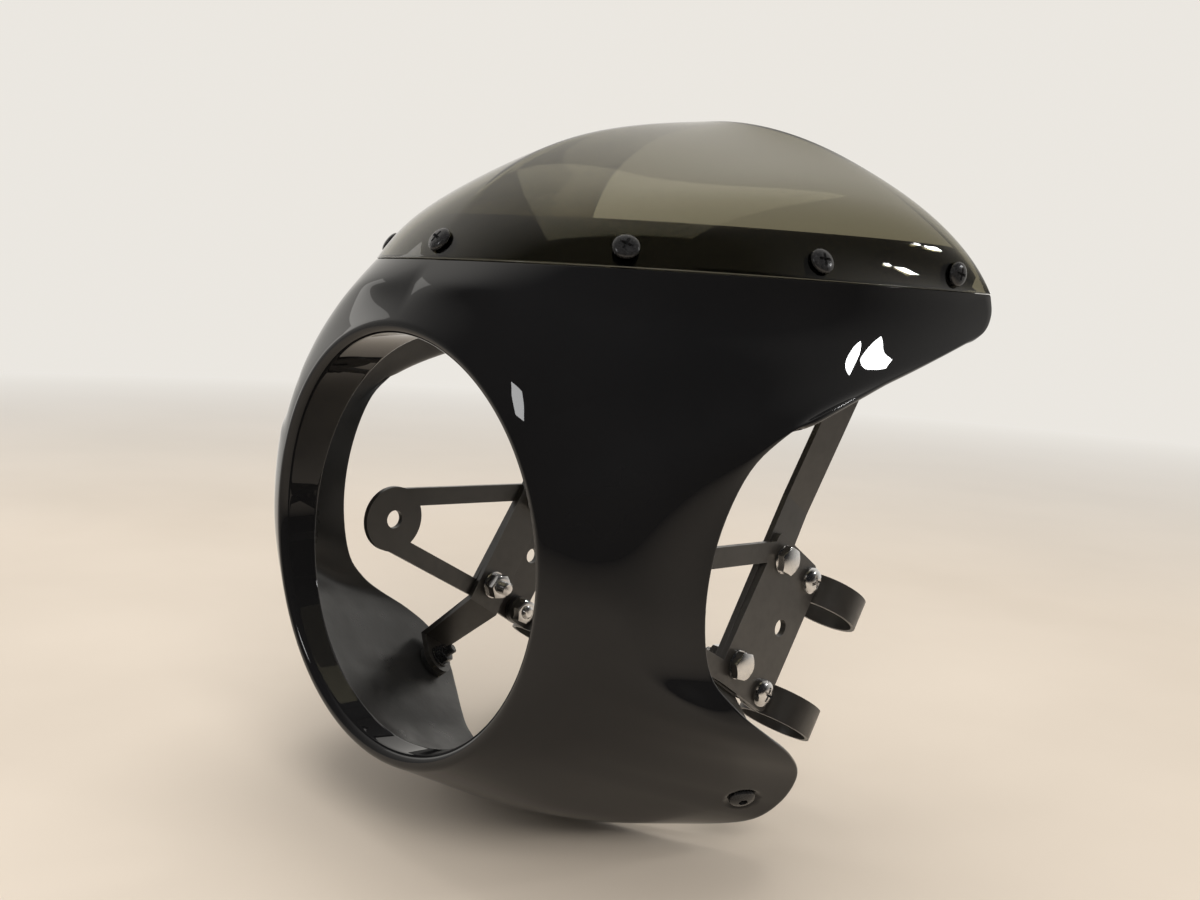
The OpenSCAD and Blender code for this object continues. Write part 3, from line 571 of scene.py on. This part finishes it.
def hex_solid(across, z0, z1, bore=0.0, chamfer_low=True, n=72):
    """A hexagon with the curved edges that a turned chamfer leaves."""
    rc = across / 2 * 0.965
    rows = []
    for i in range(n):
        a = 360.0 * i / n
        r = across / 2 / cosd((a + 30) % 60 - 30)
        drop = (r - rc) * 0.55
        low = drop if chamfer_low else 0.0
        ring = []
        inner = bore / 2
        if inner:
            ring.append((inner, z0 + 0.35))
            ring.append((inner + 0.35, z0))
        else:
            ring.append((0.001, z0))
        ring.append((rc if chamfer_low else r, z0))
        ring.append((r, z0 + low))
        ring.append((r, z1 - drop))
        ring.append((rc, z1))
        if inner:
            ring.append((inner + 0.35, z1))
            ring.append((inner, z1 - 0.35))
        else:
            ring.append((0.001, z1))
        rows.append([(rr * cosd(a), rr * sind(a), z) for rr, z in ring])
    m = len(rows[0])
    pts = [p for r in rows for p in r]
    faces = []
    for i in range(n):
        i2 = (i + 1) % n
        for j in range(m if inner else m - 1):
            j2 = (j + 1) % m
            faces.append((i * m + j, i2 * m + j, i2 * m + j2, i * m + j2))
    if not inner:
        faces.append([i * m for i in range(n)][::-1])
        faces.append([i * m + m - 1 for i in range(n)])
    return np.array(pts), faces


def washer_solid(d, bore, z0, z1, n=48):
    e = min(0.25, (z1 - z0) * 0.3)
    ring = [(bore / 2, z0 + e), (bore / 2 + e, z0), (d / 2 - e, z0), (d / 2, z0 + e),
            (d / 2, z1 - e), (d / 2 - e, z1), (bore / 2 + e, z1), (bore / 2, z1 - e)]
    pts, faces, m = [], [], len(ring)
    for i in range(n):
        a = 2 * math.pi * i / n
        pts += [(r * math.cos(a), r * math.sin(a), z) for r, z in ring]
    for i in range(n):
        i2 = (i + 1) % n
        for j in range(m):
            faces.append((i * m + j, i2 * m + j, i2 * m + (j + 1) % m, i * m + (j + 1) % m))
    return np.array(pts), faces


def solid(name, parts, cutter=None):
    """Joins closed solids, given as (points, faces), into one object, after an optional cut in the first."""
    first = new_object(name, parts[0][0], parts[0][1], scale=1)
    outward(first)
    if cutter is not None:
        c = new_object(name + "_cut", cutter[0], cutter[1], scale=1)
        outward(c)
        boolean(first, c)
    pts = [np.array([v.co[:] for v in first.data.vertices])]
    faces = [[list(p.vertices) for p in first.data.polygons]]
    bpy.data.objects.remove(first)
    for p, f in parts[1:]:
        pts.append(np.asarray(p))
        faces.append(f)
    total, base = [], 0
    for p, fs in zip(pts, faces):
        total += [[v + base for v in f] for f in fs]
        base += len(p)
    return np.concatenate(pts), total


def cross_cutter(size, top, depth):
    """A tapered cross, as a driver leaves it: four wings that narrow towards the bottom."""
    pts, faces = [], []
    w = size * 0.11
    outline = []
    for q in range(4):
        a = 90 * q
        u, v = V(cosd(a), sind(a)), V(-sind(a), cosd(a))
        outline += [u * size / 2 - v * w, u * size / 2 + v * w, (u + v) * w]
    levels = [(1.0, top + 1.0), (1.0, top - 0.15 * depth), (0.42, top - depth)]
    m = len(outline)
    for s, z in levels:
        for p in outline:
            pts.append((p[0] * s, p[1] * s, z))
    for l in range(len(levels) - 1):
        for i in range(m):
            i2 = (i + 1) % m
            faces.append((l * m + i, l * m + i2, (l + 1) * m + i2, (l + 1) * m + i))
    faces.append(list(range(m)))
    faces.append([(len(levels) - 1) * m + i for i in range(m)][::-1])
    return np.array(pts), faces


def placed(name, template, places, sharp=32):
    """One object with the template at each place: (origin, direction of Z, direction of X or None)."""
    pts, faces, base = [], [], 0
    tp, tf = np.asarray(template[0]), template[1]
    for o, z, x in places:
        z = unit(np.asarray(z, float))
        x = np.asarray(x, float) if x is not None else V(0, 0, 1)
        x = unit(x - z * (x @ z))
        y = np.cross(z, x)
        pts.append(np.asarray(o) + tp[:, :1] * x + tp[:, 1:2] * y + tp[:, 2:] * z)
        faces += [[v + base for v in f] for f in tf]
        base += len(tp)
    ob = new_object(name, np.concatenate(pts), faces)
    outward(ob)
    sharpen(ob, sharp)
    return ob


# Seats of the screen's screws, evenly spaced along the line at their height
screw_pitch, screw_h, screw_d, screw_head_d, screw_head_h = 93, 8.6, 5, 12, 3
plate_t = 3.2
seat_air, inner_air, tab_air, washer_t, nut_h, nut_across = 0.5, 0.4, 1.2, 1, 4, 8
grip = screen_t + ledge_gap + ledge_t
tab_stack = tab_air + plate_t
line_s = np.linspace(0, 1, 61)
line_p = np.array([weights(screen_at(s, screw_h)) @ screen_curve(s) for s in line_s])
run = np.concatenate([[0], np.cumsum(np.linalg.norm(np.diff(line_p, axis=0), axis=1))])
seats = []
for i in range(4):
    s = float(np.interp(i * screw_pitch, run, line_s))
    t = screen_at(s, screw_h)
    seats.append((weights(t) @ screen_curve(s), screen_normals(s, [t])[0]))


def screw_places(indices):
    out = []
    for i in indices:
        turn = (V(0.35, 0, 1), V(0.2, 0.3, 1), V(-0.4, 0.2, 1), V(0.6, 0.1, 1))[i]
        p, n = seats[i]
        out.append((p, n, turn))
        if i:
            out.append((p * flip, n * flip, turn * flip + V(0.3, 0, 0)))
    return out


def screen_screw(extra):
    z0 = -grip - extra - washer_t - nut_h - 2
    head = revolve([(r, z + seat_air) for r, z in dome_profile(screw_head_d, screw_head_h)], 56)
    body = shank(screw_d, z0, seat_air + 0.4, -2.5, 0.8)
    return solid("screw", [head, body], cross_cutter(screw_head_d * 0.52, seat_air + screw_head_h, 1.7))


def joined(name, obs):
    """Joins objects that have the same material slots into the first."""
    bm = bmesh.new()
    for o in obs:
        bm.from_mesh(o.data)
    bm.to_mesh(obs[0].data)
    bm.free()
    for o in obs[1:]:
        bpy.data.objects.remove(o)
    obs[0].name = name
    return obs[0]


screws = joined("screen_screw_set", [placed("s1", screen_screw(0), screw_places([0, 1, 2])),
                                     placed("s2", screen_screw(tab_stack), screw_places([3]))])


def at_depth(places, z):
    return [(np.asarray(p) + unit(np.asarray(n)) * z, n, x) for p, n, x in places]


w_solid = washer_solid(nut_across + 2, screw_d + 0.3, 0, washer_t)
n_solid = hex_solid(nut_across, 0, nut_h, screw_d - 0.3)
z_a, z_b = -grip - inner_air - washer_t, -grip - tab_stack - washer_t
screen_washers = joined("screen_washer_set", [placed("w1", w_solid, at_depth(screw_places([0, 1, 2]), z_a)),
                                              placed("w2", w_solid, at_depth(screw_places([3]), z_b))])
screen_nuts = joined("screen_nut_set", [placed("n1", n_solid, at_depth(screw_places([0, 1, 2]), z_a - nut_h)),
                                        placed("n2", n_solid, at_depth(screw_places([3]), z_b - nut_h))])

# Bracket bolts: plan coordinates run across the fork (p) and along it (q), from the lower front bolt
bracket_w, rake, bolt_y, bolt_drop, bolt_span, row_gap = 190.6, 33.1, 139.2, 56.5, 57.5, 27.4
band_t, band_gap, bolt_d = 2, 0.8, 8
plate_x = bracket_w / 2
inner_x = plate_x - plate_t
stay_x = inner_x - plate_t
clamp_inner_x = inner_x - 2 * band_t - band_gap
clamp_low, clamp_high = -4, bolt_span + 1.5


def from_plan(p, q):
    return (bolt_y + p * cosd(rake) + q * sind(rake), -bolt_drop - p * sind(rake) + q * cosd(rake))


def bolt_places(side, p, qs, x, turns):
    out = []
    for q, turn in zip(qs, turns):
        y, z = from_plan(p, q)
        out.append((V(side * x, y, z), V(side, 0, 0), V(0, sind(turn), cosd(turn))))
    return out


hex_across, hex_head_h = bolt_d * 1.625, bolt_d * 0.66
bolt_washer_t, bolt_washer_d, bolt_nut_h, bolt_tail = 1.6, bolt_d * 2, bolt_d * 0.8, 6
button_d, button_h = bolt_d * 1.75, bolt_d * 0.6
tail = 2 * plate_t + bolt_washer_t + bolt_nut_h + bolt_tail
flange_ring = revolve([(hex_across * 0.56 - 0.3, 0.0), (hex_across * 0.56, 0.3), (hex_across * 0.56, 0.7),
                       (hex_across * 0.53, 1.2), (0.001, 1.2)], 56)
hex_bolt = solid("hex", [hex_solid(hex_across, 1.0, hex_head_h, 0, False), flange_ring,
                         shank(bolt_d, -tail, 0.4, -plate_t * 1.5, 1.25)])
button = solid("button", [revolve(dome_profile(button_d, button_h, 0.16, 14), 56)],
               cross_cutter(button_d * 0.54, button_h, 2.3))
clamp_tail = plate_x - clamp_inner_x + bolt_nut_h + 2
button_bolt = solid("bolt", [button, shank(bolt_d, -clamp_tail, 0.4, -plate_t * 1.5, 1.25)])
bolt_nut = hex_solid(hex_across, 0, bolt_nut_h, bolt_d - 0.5)
bolt_washer = washer_solid(bolt_washer_d, bolt_d + 0.4, 0, bolt_washer_t)
pieces = {}
for side, word in ((1, "left"), (-1, "right")):
    front, rear = (0, bolt_span), (clamp_low, clamp_high)
    pieces["hex_bolts_" + word] = placed("hex_bolt_set_" + word, hex_bolt,
                                         bolt_places(side, 0, front, plate_x, (18, -34)))
    pieces["hex_washers_" + word] = placed("hex_washer_set_" + word, bolt_washer,
                                           bolt_places(side, 0, front, stay_x - bolt_washer_t, (0, 0)))
    nuts_x = stay_x - bolt_washer_t - bolt_nut_h
    pieces["hex_nuts_" + word] = placed("hex_nut_set_" + word, bolt_nut,
                                        bolt_places(side, 0, front, nuts_x, (7, 40)))
    pieces["clamp_bolts_" + word] = placed("clamp_bolt_set_" + word, button_bolt,
                                           bolt_places(side, row_gap, rear, plate_x, (30, -12)))
    nuts_x = clamp_inner_x - bolt_nut_h
    pieces["clamp_nuts_" + word] = placed("clamp_nut_set_" + word, bolt_nut,
                                          bolt_places(side, row_gap, rear, nuts_x, (25, 3)))

# Lower ears: button screw in the dimple, then pad, stay, washer and nut
ear_screw_d, ear_recess, ear_head_d, ear_head_h, pad_t = 6, 1, 12.5, 3, 3
ear_washer_t, ear_nut_across, ear_nut_h, stay_arm_w = 1.2, 6 * 1.67, 6 * 0.83, 20
ear_seat = shell_t + 0.3
ear_stack = ear_seat + pad_t + plate_t
key = revolve([(2.3, 0), (2.3, 3.0)], 6)
ear_dome = [(r, z - ear_recess) for r, z in dome_profile(ear_head_d, ear_head_h, 0.12, 14)]
ear_head = solid("ear", [revolve(ear_dome, 56)],
                 (key[0] + V(0, 0, ear_head_h - ear_recess - 1.6), key[1]))
ear_screw = solid("earscrew", [ear_head, shank(ear_screw_d, -ear_stack - ear_washer_t - ear_nut_h - 5, -0.6,
                                               -shell_t, 1.0)])
ear_pad = washer_solid(stay_arm_w, ear_screw_d + 0.6, -ear_seat - pad_t, -ear_seat)
ear_washer = washer_solid(ear_screw_d * 2.2, ear_screw_d + 0.4, -ear_stack - ear_washer_t, -ear_stack)
ear_nut = hex_solid(ear_nut_across, -ear_stack - ear_washer_t - ear_nut_h, -ear_stack - ear_washer_t,
                    ear_screw_d - 0.4)
for side, word in ((1, "left"), (-1, "right")):
    m = V(side, 1, 1)
    place = [(ear_p * m, ear_n * m, V(0.2, 0.3, 1))]
    pieces["ear_screw_" + word] = placed("ear_screw_piece_" + word, ear_screw, place)
    pieces["ear_pad_" + word] = placed("ear_pad_piece_" + word, ear_pad, place)
    pieces["ear_washer_" + word] = placed("ear_washer_piece_" + word, ear_washer, place)
    pieces["ear_nut_" + word] = placed("ear_nut_piece_" + word, ear_nut, place)


# ---------------------------------------------------------------- materials
class Nodes:
    """A small helper that makes and links shader nodes."""

    def __init__(self, name):
        self.mat = bpy.data.materials.new(name)
        self.mat.use_nodes = True
        self.tree = self.mat.node_tree
        self.bsdf = self.tree.nodes["Principled BSDF"]
        self.coord = self.tree.nodes.new("ShaderNodeTexCoord").outputs["Object"]

    def set(self, **values):
        for key, value in values.items():
            self.bsdf.inputs[key.replace("_", " ")].default_value = value
        return self

    def node(self, kind, **inputs):
        n = self.tree.nodes.new(kind)
        for key, value in inputs.items():
            if key in n.inputs:
                if hasattr(value, "is_output"):
                    self.tree.links.new(value, n.inputs[key])
                else:
                    n.inputs[key].default_value = value
            else:
                setattr(n, key, value)
        return n

    def link(self, out, to):
        self.tree.links.new(out, self.bsdf.inputs[to])

    def noise(self, scale, detail=3, rough=0.5, stretch=None):
        vec = self.coord
        if stretch:
            vec = self.node("ShaderNodeMapping", Vector=self.coord, Scale=stretch).outputs[0]
        n = self.node("ShaderNodeTexNoise", Vector=vec, Scale=scale, Detail=detail, Roughness=rough)
        return n.outputs["Fac"]

    def ramp(self, fac, stops):
        n = self.node("ShaderNodeValToRGB")
        self.tree.links.new(fac, n.inputs[0])
        els = n.color_ramp.elements
        while len(els) < len(stops):
            els.new(0.5)
        for e, (p, c) in zip(els, stops):
            e.position = p
            e.color = c if len(c) == 4 else (*c, 1)
        return n.outputs[0]

    def grey(self, fac, lo, hi, a=0.3, b=0.7):
        n = self.node("ShaderNodeMapRange", Value=fac)
        for key, value in (("From Min", a), ("From Max", b), ("To Min", lo), ("To Max", hi)):
            n.inputs[key].default_value = value
        return n.outputs[0]

    def bump(self, height, strength, distance, normal=None):
        n = self.node("ShaderNodeBump")
        n.inputs["Strength"].default_value = strength
        n.inputs["Distance"].default_value = distance
        self.tree.links.new(height, n.inputs["Height"])
        if normal is not None:
            self.tree.links.new(normal, n.inputs["Normal"])
        return n.outputs[0]

    def edges(self, radius=0.0006):
        """Brightness at worn edges, from the difference between the bevelled and the true normal."""
        bevel = self.node("ShaderNodeBevel", samples=4)
        bevel.inputs["Radius"].default_value = radius
        geo = self.node("ShaderNodeNewGeometry")
        dot = self.node("ShaderNodeVectorMath", operation="DOT_PRODUCT")
        self.tree.links.new(bevel.outputs[0], dot.inputs[0])
        self.tree.links.new(geo.outputs["Normal"], dot.inputs[1])
        return dot.outputs["Value"]


def gloss_black():
    m = Nodes("gloss_black_paint")
    m.set(Base_Color=(0.0075, 0.0075, 0.008, 1), Coat_Weight=1.0, Coat_Roughness=0.012, Coat_IOR=1.37,
          Specular_IOR_Level=0.0)
    m.link(m.ramp(m.noise(9, 4), [(0.3, (0.0066, 0.0066, 0.0070)), (0.7, (0.0092, 0.0090, 0.0094))]),
           "Base Color")
    m.link(m.grey(m.noise(38, 5, 0.6), 0.10, 0.17), "Roughness")
    m.link(m.bump(m.noise(110, 1), 0.03, 0.0001), "Coat Normal")
    return m.mat


def inner_black():
    m = Nodes("inner_satin_black")
    m.set(Specular_IOR_Level=0.3)
    m.link(m.ramp(m.noise(30, 5), [(0.3, (0.011, 0.011, 0.011)), (0.7, (0.018, 0.0175, 0.017))]),
           "Base Color")
    m.link(m.grey(m.noise(60, 4), 0.26, 0.42), "Roughness")
    m.link(m.bump(m.noise(420, 4, 0.6), 0.18, 0.0003), "Normal")
    return m.mat


def smoke():
    m = Nodes("smoked_clear_screen")
    m.set(Base_Color=(0.17, 0.156, 0.103, 1), Transmission_Weight=1.0, IOR=1.47)
    m.link(m.grey(m.noise(45, 4), 0.012, 0.03), "Roughness")
    m.link(m.bump(m.noise(90, 2), 0.03, 0.0002), "Normal")
    return m.mat


def smoke_edge():
    m = Nodes("smoked_screen_cut_edge")
    m.set(Base_Color=(0.085, 0.080, 0.062, 1), Transmission_Weight=0.2, IOR=1.47)
    m.link(m.grey(m.noise(300, 3), 0.10, 0.26), "Roughness")
    m.link(m.bump(m.noise(900, 3), 0.12, 0.0001), "Normal")
    return m.mat


def powder_coat():
    m = Nodes("satin_black_powder_coat")
    m.set(Specular_IOR_Level=0.8)
    # Near-black coat tone, made warmer and a little lighter than the bare coat: partly the coat's own colour,
    # partly a painted warm brown reflection
    base = m.ramp(m.noise(70, 5), [(0.3, (0.021, 0.0185, 0.016)), (0.7, (0.031, 0.028, 0.0245))])
    worn = m.ramp(m.edges(), [(0.90, (1, 1, 1)), (0.985, (0, 0, 0))])
    tint = m.node("ShaderNodeMix", data_type="RGBA")
    m.tree.links.new(worn, tint.inputs["Factor"])
    m.tree.links.new(base, tint.inputs[6])
    tint.inputs[7].default_value = (0.055, 0.053, 0.050, 1)
    m.link(tint.outputs[2], "Base Color")
    m.link(m.grey(m.noise(240, 4), 0.30, 0.44), "Roughness")
    m.link(m.bump(m.noise(1500, 3, 0.6), 0.16, 0.00015), "Normal")
    return m.mat


def black_screw():
    m = Nodes("black_oxide_screw")
    m.set(Specular_IOR_Level=0.5)
    base = m.ramp(m.noise(900, 3), [(0.3, (0.012, 0.012, 0.0125)), (0.7, (0.022, 0.022, 0.023))])
    m.link(base, "Base Color")
    m.link(m.grey(m.noise(700, 4), 0.16, 0.32), "Roughness")
    m.link(m.bump(m.noise(2600, 2), 0.10, 0.00008), "Normal")
    return m.mat


def zinc():
    m = Nodes("bright_zinc")
    m.set(Metallic=1.0)
    base = m.ramp(m.noise(600, 4), [(0.25, (0.64, 0.64, 0.65)), (0.55, (0.72, 0.715, 0.71)),
                                    (0.8, (0.76, 0.75, 0.725))])
    m.link(base, "Base Color")
    m.link(m.grey(m.noise(1100, 4, 0.6), 0.14, 0.24), "Roughness")
    m.link(m.bump(m.noise(2400, 3), 0.05, 0.00005), "Normal")
    return m.mat


def rubber():
    m = Nodes("black_rubber")
    m.link(m.ramp(m.noise(300, 4), [(0.3, (0.012, 0.012, 0.012)), (0.7, (0.022, 0.022, 0.021))]),
           "Base Color")
    m.link(m.grey(m.noise(500, 3), 0.55, 0.75), "Roughness")
    m.link(m.bump(m.noise(2500, 3), 0.3, 0.0002), "Normal")
    return m.mat


mat_gloss, mat_inner, mat_smoke, mat_edge = gloss_black(), inner_black(), smoke(), smoke_edge()
mat_coat, mat_screw, mat_zinc, mat_rubber = powder_coat(), black_screw(), zinc(), rubber()
for ob, mats in ((shell, (mat_gloss, mat_inner)), (screen, (mat_smoke, mat_edge)), (screws, (mat_screw,)),
                 (screen_washers, (mat_screw,)), (screen_nuts, (mat_screw,))):
    for mat in mats:
        ob.data.materials.append(mat)
for ob, node, slot in ((shell, "shell", "shell_gloss"), (screen, "screen", "screen_smoke"),
                       (screws, "screen_screws", "screw_black"),
                       (screen_washers, "screen_washers", "screw_black"),
                       (screen_nuts, "screen_nuts", "screw_black")):
    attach(ob, "root")
    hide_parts(node)
slot_material = {"pad_rubber": mat_rubber, "screw_black": mat_screw, "bolt_zinc": mat_zinc}
for node, ob in pieces.items():
    slot = "pad_rubber" if "pad" in node else "screw_black" if node.startswith("ear") else "bolt_zinc"
    ob.data.materials.append(slot_material[slot])
    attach(ob, "root")
    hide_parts(node)

# The plates, stays and bands keep their CAD shape, with softened edges
for node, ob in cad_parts.items():
    if node.startswith(("bracket_plate", "stay", "clamp_upper", "clamp_lower")):
        for s in ob.material_slots:
            s.material = mat_coat
        b = ob.modifiers.new("edge", "BEVEL")
        b.width, b.segments, b.limit_method, b.angle_limit = 0.00035, 2, "ANGLE", math.radians(28)
        b.harden_normals = True

# ---------------------------------------------------------------- camera, at the photograph's place
cam_data = bpy.data.cameras.new("camera")
cam_data.sensor_fit, cam_data.sensor_width, cam_data.lens = "HORIZONTAL", 36, 36 * 1184.2 / 1200
cam_data.clip_start, cam_data.clip_end = 0.02, 60
cam = bpy.data.objects.new("camera", cam_data)
az, el, roll = 44.6, 7.4, 3.3
fwd = V(-sind(az) * cosd(el), cosd(az) * cosd(el), -sind(el))
right = V(cosd(az), sind(az), 0)
up = np.cross(right, fwd)
right2, up2 = cosd(roll) * right + sind(roll) * up, -sind(roll) * right + cosd(roll) * up
turn = Matrix(((right2[0], up2[0], -fwd[0]), (right2[1], up2[1], -fwd[1]), (right2[2], up2[2], -fwd[2])))
cam.matrix_world = Matrix.Translation(Vector((0.4344, -0.3081, 0.1166))) @ turn.to_4x4()
bpy.context.scene.collection.objects.link(cam)
bpy.context.scene.camera = cam

# ---------------------------------------------------------------- floor, light and surroundings
BACKGROUND = (0.83, 0.80, 0.75)
DARK_ROOM = (0.012, 0.012, 0.013)
room_from, room_to = 0.42, 0.78  # where the dark room turns into the background, from behind (0) to ahead (1)
fade_from, fade_to = 0.75, 2.6  # metres over which the floor fades into the background
gloss_fade_from, gloss_fade_to = 0.40, 1.2  # the same in reflections
floor_half = 9.0
floor_z = cad_low[2] - 0.0004
fm = bpy.data.meshes.new("floor")
bm = bmesh.new()
bmesh.ops.create_grid(bm, x_segments=8, y_segments=8, size=floor_half)
bm.to_mesh(fm)
bm.free()
floor = bpy.data.objects.new("floor", fm)
floor.location = (0, 0, floor_z)
bpy.context.scene.collection.objects.link(floor)
m = Nodes("pale_floor")
m.set(Base_Color=(0.66, 0.60, 0.53, 1), Roughness=0.55, Specular_IOR_Level=0.3)
m.link(m.ramp(m.noise(3, 4), [(0.3, (0.62, 0.54, 0.45)), (0.7, (0.68, 0.595, 0.50))]), "Base Color")
# Far from the part the floor fades into the pale background, for the rays that show it
flat = m.node("ShaderNodeVectorMath", operation="MULTIPLY")
m.tree.links.new(m.coord, flat.inputs[0])
flat.inputs[1].default_value = (1, 1, 0)
far = m.node("ShaderNodeVectorMath", operation="LENGTH")
m.tree.links.new(flat.outputs[0], far.inputs[0])
fade = m.grey(far.outputs["Value"], 0.0, 1.0, fade_from, fade_to)
fade_gloss = m.grey(far.outputs["Value"], 0.0, 1.0, gloss_fade_from, gloss_fade_to)
rays = m.node("ShaderNodeLightPath")


def floor_math(operation, a, b):
    n = m.node("ShaderNodeMath", operation=operation)
    for value, to in ((a, n.inputs[0]), (b, n.inputs[1])):
        if hasattr(value, "is_output"):
            m.tree.links.new(value, to)
        else:
            to.default_value = value
    return n.outputs[0]


shown = floor_math("MAXIMUM", rays.outputs["Is Camera Ray"], rays.outputs["Is Transmission Ray"])
amount = floor_math("MAXIMUM", floor_math("MULTIPLY", fade, shown),
                    floor_math("MULTIPLY", fade_gloss, rays.outputs["Is Glossy Ray"]))
# Gloss sees it fade into the dark room on the photographer's side
beyond = m.node("ShaderNodeVectorMath", operation="DOT_PRODUCT")
m.tree.links.new(flat.outputs[0], beyond.inputs[0])
beyond.inputs[1].default_value = (-sind(az), cosd(az), 0)
side_of_room = floor_math("DIVIDE", beyond.outputs["Value"], far.outputs["Value"])
surround = m.ramp(floor_math("ADD", floor_math("MULTIPLY", side_of_room, 0.5), 0.5),
                  [(room_from, DARK_ROOM), (room_to, BACKGROUND)])
shade = m.node("ShaderNodeMix", data_type="RGBA")
m.tree.links.new(rays.outputs["Is Glossy Ray"], shade.inputs["Factor"])
shade.inputs[6].default_value = (*BACKGROUND, 1)
m.tree.links.new(surround, shade.inputs[7])
pale = m.node("ShaderNodeEmission", Strength=1.0)
m.tree.links.new(shade.outputs[2], pale.inputs["Color"])
blend = m.node("ShaderNodeMixShader")
m.tree.links.new(amount, blend.inputs[0])
m.tree.links.new(m.bsdf.outputs[0], blend.inputs[1])
m.tree.links.new(pale.outputs[0], blend.inputs[2])
m.tree.links.new(blend.outputs[0], m.tree.nodes["Material Output"].inputs["Surface"])
fm.materials.append(m.mat)

world = bpy.data.worlds.new("studio")
world.use_nodes = True
bpy.context.scene.world = world
wt = world.node_tree
bg = wt.nodes["Background"]
coord = wt.nodes.new("ShaderNodeTexCoord")
sep = wt.nodes.new("ShaderNodeSeparateXYZ")
wt.links.new(coord.outputs["Generated"], sep.inputs[0])
# Diffuse light comes softly from everywhere, more from above. Gloss sees the pale background on the far
# side and a dark room on the photographer's side
ramp = wt.nodes.new("ShaderNodeValToRGB")
ramp.color_ramp.elements[0].position, ramp.color_ramp.elements[0].color = 0.0, (0.34, 0.33, 0.31, 1)
ramp.color_ramp.elements[1].position, ramp.color_ramp.elements[1].color = 1.0, (0.50, 0.49, 0.48, 1)
wt.links.new(sep.outputs["Z"], ramp.inputs[0])
ahead = wt.nodes.new("ShaderNodeVectorMath")
ahead.operation = "DOT_PRODUCT"
wt.links.new(coord.outputs["Generated"], ahead.inputs[0])
ahead.inputs[1].default_value = (-sind(az), cosd(az), 0)
room = wt.nodes.new("ShaderNodeValToRGB")
room.color_ramp.elements[0].position, room.color_ramp.elements[0].color = room_from, (*DARK_ROOM, 1)
room.color_ramp.elements[1].position, room.color_ramp.elements[1].color = room_to, (*BACKGROUND, 1)
half_way = wt.nodes.new("ShaderNodeMath")
half_way.operation = "MULTIPLY_ADD"
wt.links.new(ahead.outputs["Value"], half_way.inputs[0])
half_way.inputs[1].default_value, half_way.inputs[2].default_value = 0.5, 0.5
wt.links.new(half_way.outputs[0], room.inputs[0])
path = wt.nodes.new("ShaderNodeLightPath")
seen = wt.nodes.new("ShaderNodeMath")
seen.operation = "MAXIMUM"
wt.links.new(path.outputs["Is Camera Ray"], seen.inputs[0])
wt.links.new(path.outputs["Is Transmission Ray"], seen.inputs[1])
for_gloss = wt.nodes.new("ShaderNodeMix")
for_gloss.data_type = "RGBA"
wt.links.new(path.outputs["Is Glossy Ray"], for_gloss.inputs["Factor"])
wt.links.new(ramp.outputs[0], for_gloss.inputs[6])
wt.links.new(room.outputs[0], for_gloss.inputs[7])
pick = wt.nodes.new("ShaderNodeMix")
pick.data_type = "RGBA"
wt.links.new(seen.outputs[0], pick.inputs["Factor"])
wt.links.new(for_gloss.outputs[2], pick.inputs[6])
pick.inputs[7].default_value = (*BACKGROUND, 1)
wt.links.new(pick.outputs[2], bg.inputs["Color"])
bg.inputs["Strength"].default_value = 1.0


def area(name, place, target, size, power, colour=(1, 1, 1), size_y=None, glossy=True):
    light = bpy.data.lights.new(name, "AREA")
    light.energy, light.color, light.size = power, colour, size
    if size_y:
        light.shape, light.size_y = "RECTANGLE", size_y
    ob = bpy.data.objects.new(name, light)
    ob.location = place
    ob.rotation_mode = "QUATERNION"
    ob.rotation_quaternion = (Vector(target) - Vector(place)).to_track_quat("-Z", "Y")
    ob.visible_glossy = glossy
    bpy.context.scene.collection.objects.link(ob)
    return ob


def along(origin, direction, distance):
    return tuple(np.array(origin) + unit(np.array(direction)) * distance)


# Three small lamps give the bright spots on the wing and the streak beside the lip, and the window a sheen
# above the lip. The soft lamps light without showing in reflections
centre = (0, 0.1, 0)
wing_place = along((0.1426, 0.1622, 0.094), (0.612, 0.69, 0.388), 1.5)
wing_place_small = along((0.1393, 0.1503, 0.0978), (0.637, 0.642, 0.427), 1.5)
front_place = along((0.0809, 0.0035, 0.0717), (-0.166, -0.905, 0.392), 1.6)
area("wing_lamp", wing_place, centre, 0.11, 1.9, size_y=0.085)
area("wing_lamp_small", wing_place_small, centre, 0.035, 0.3, size_y=0.045)
area("front_lamp", front_place, centre, 0.16, 2.4, size_y=0.34)
area("window", (-1.5, -0.25, 0.35), centre, 0.30, 0.9, (1.0, 0.98, 0.94), size_y=1.2)
area("key", (1.5, -0.7, 1.5), centre, 1.1, 26, (1.0, 0.98, 0.95), glossy=False)
area("top", (-0.3, 0.5, 1.9), centre, 1.6, 22, (1.0, 0.99, 0.97), glossy=False)
area("fill", (-1.5, -1.1, 0.8), centre, 1.2, 10, (0.97, 0.98, 1.0), glossy=False)

bpy.context.scene.view_settings.view_transform = "Standard"
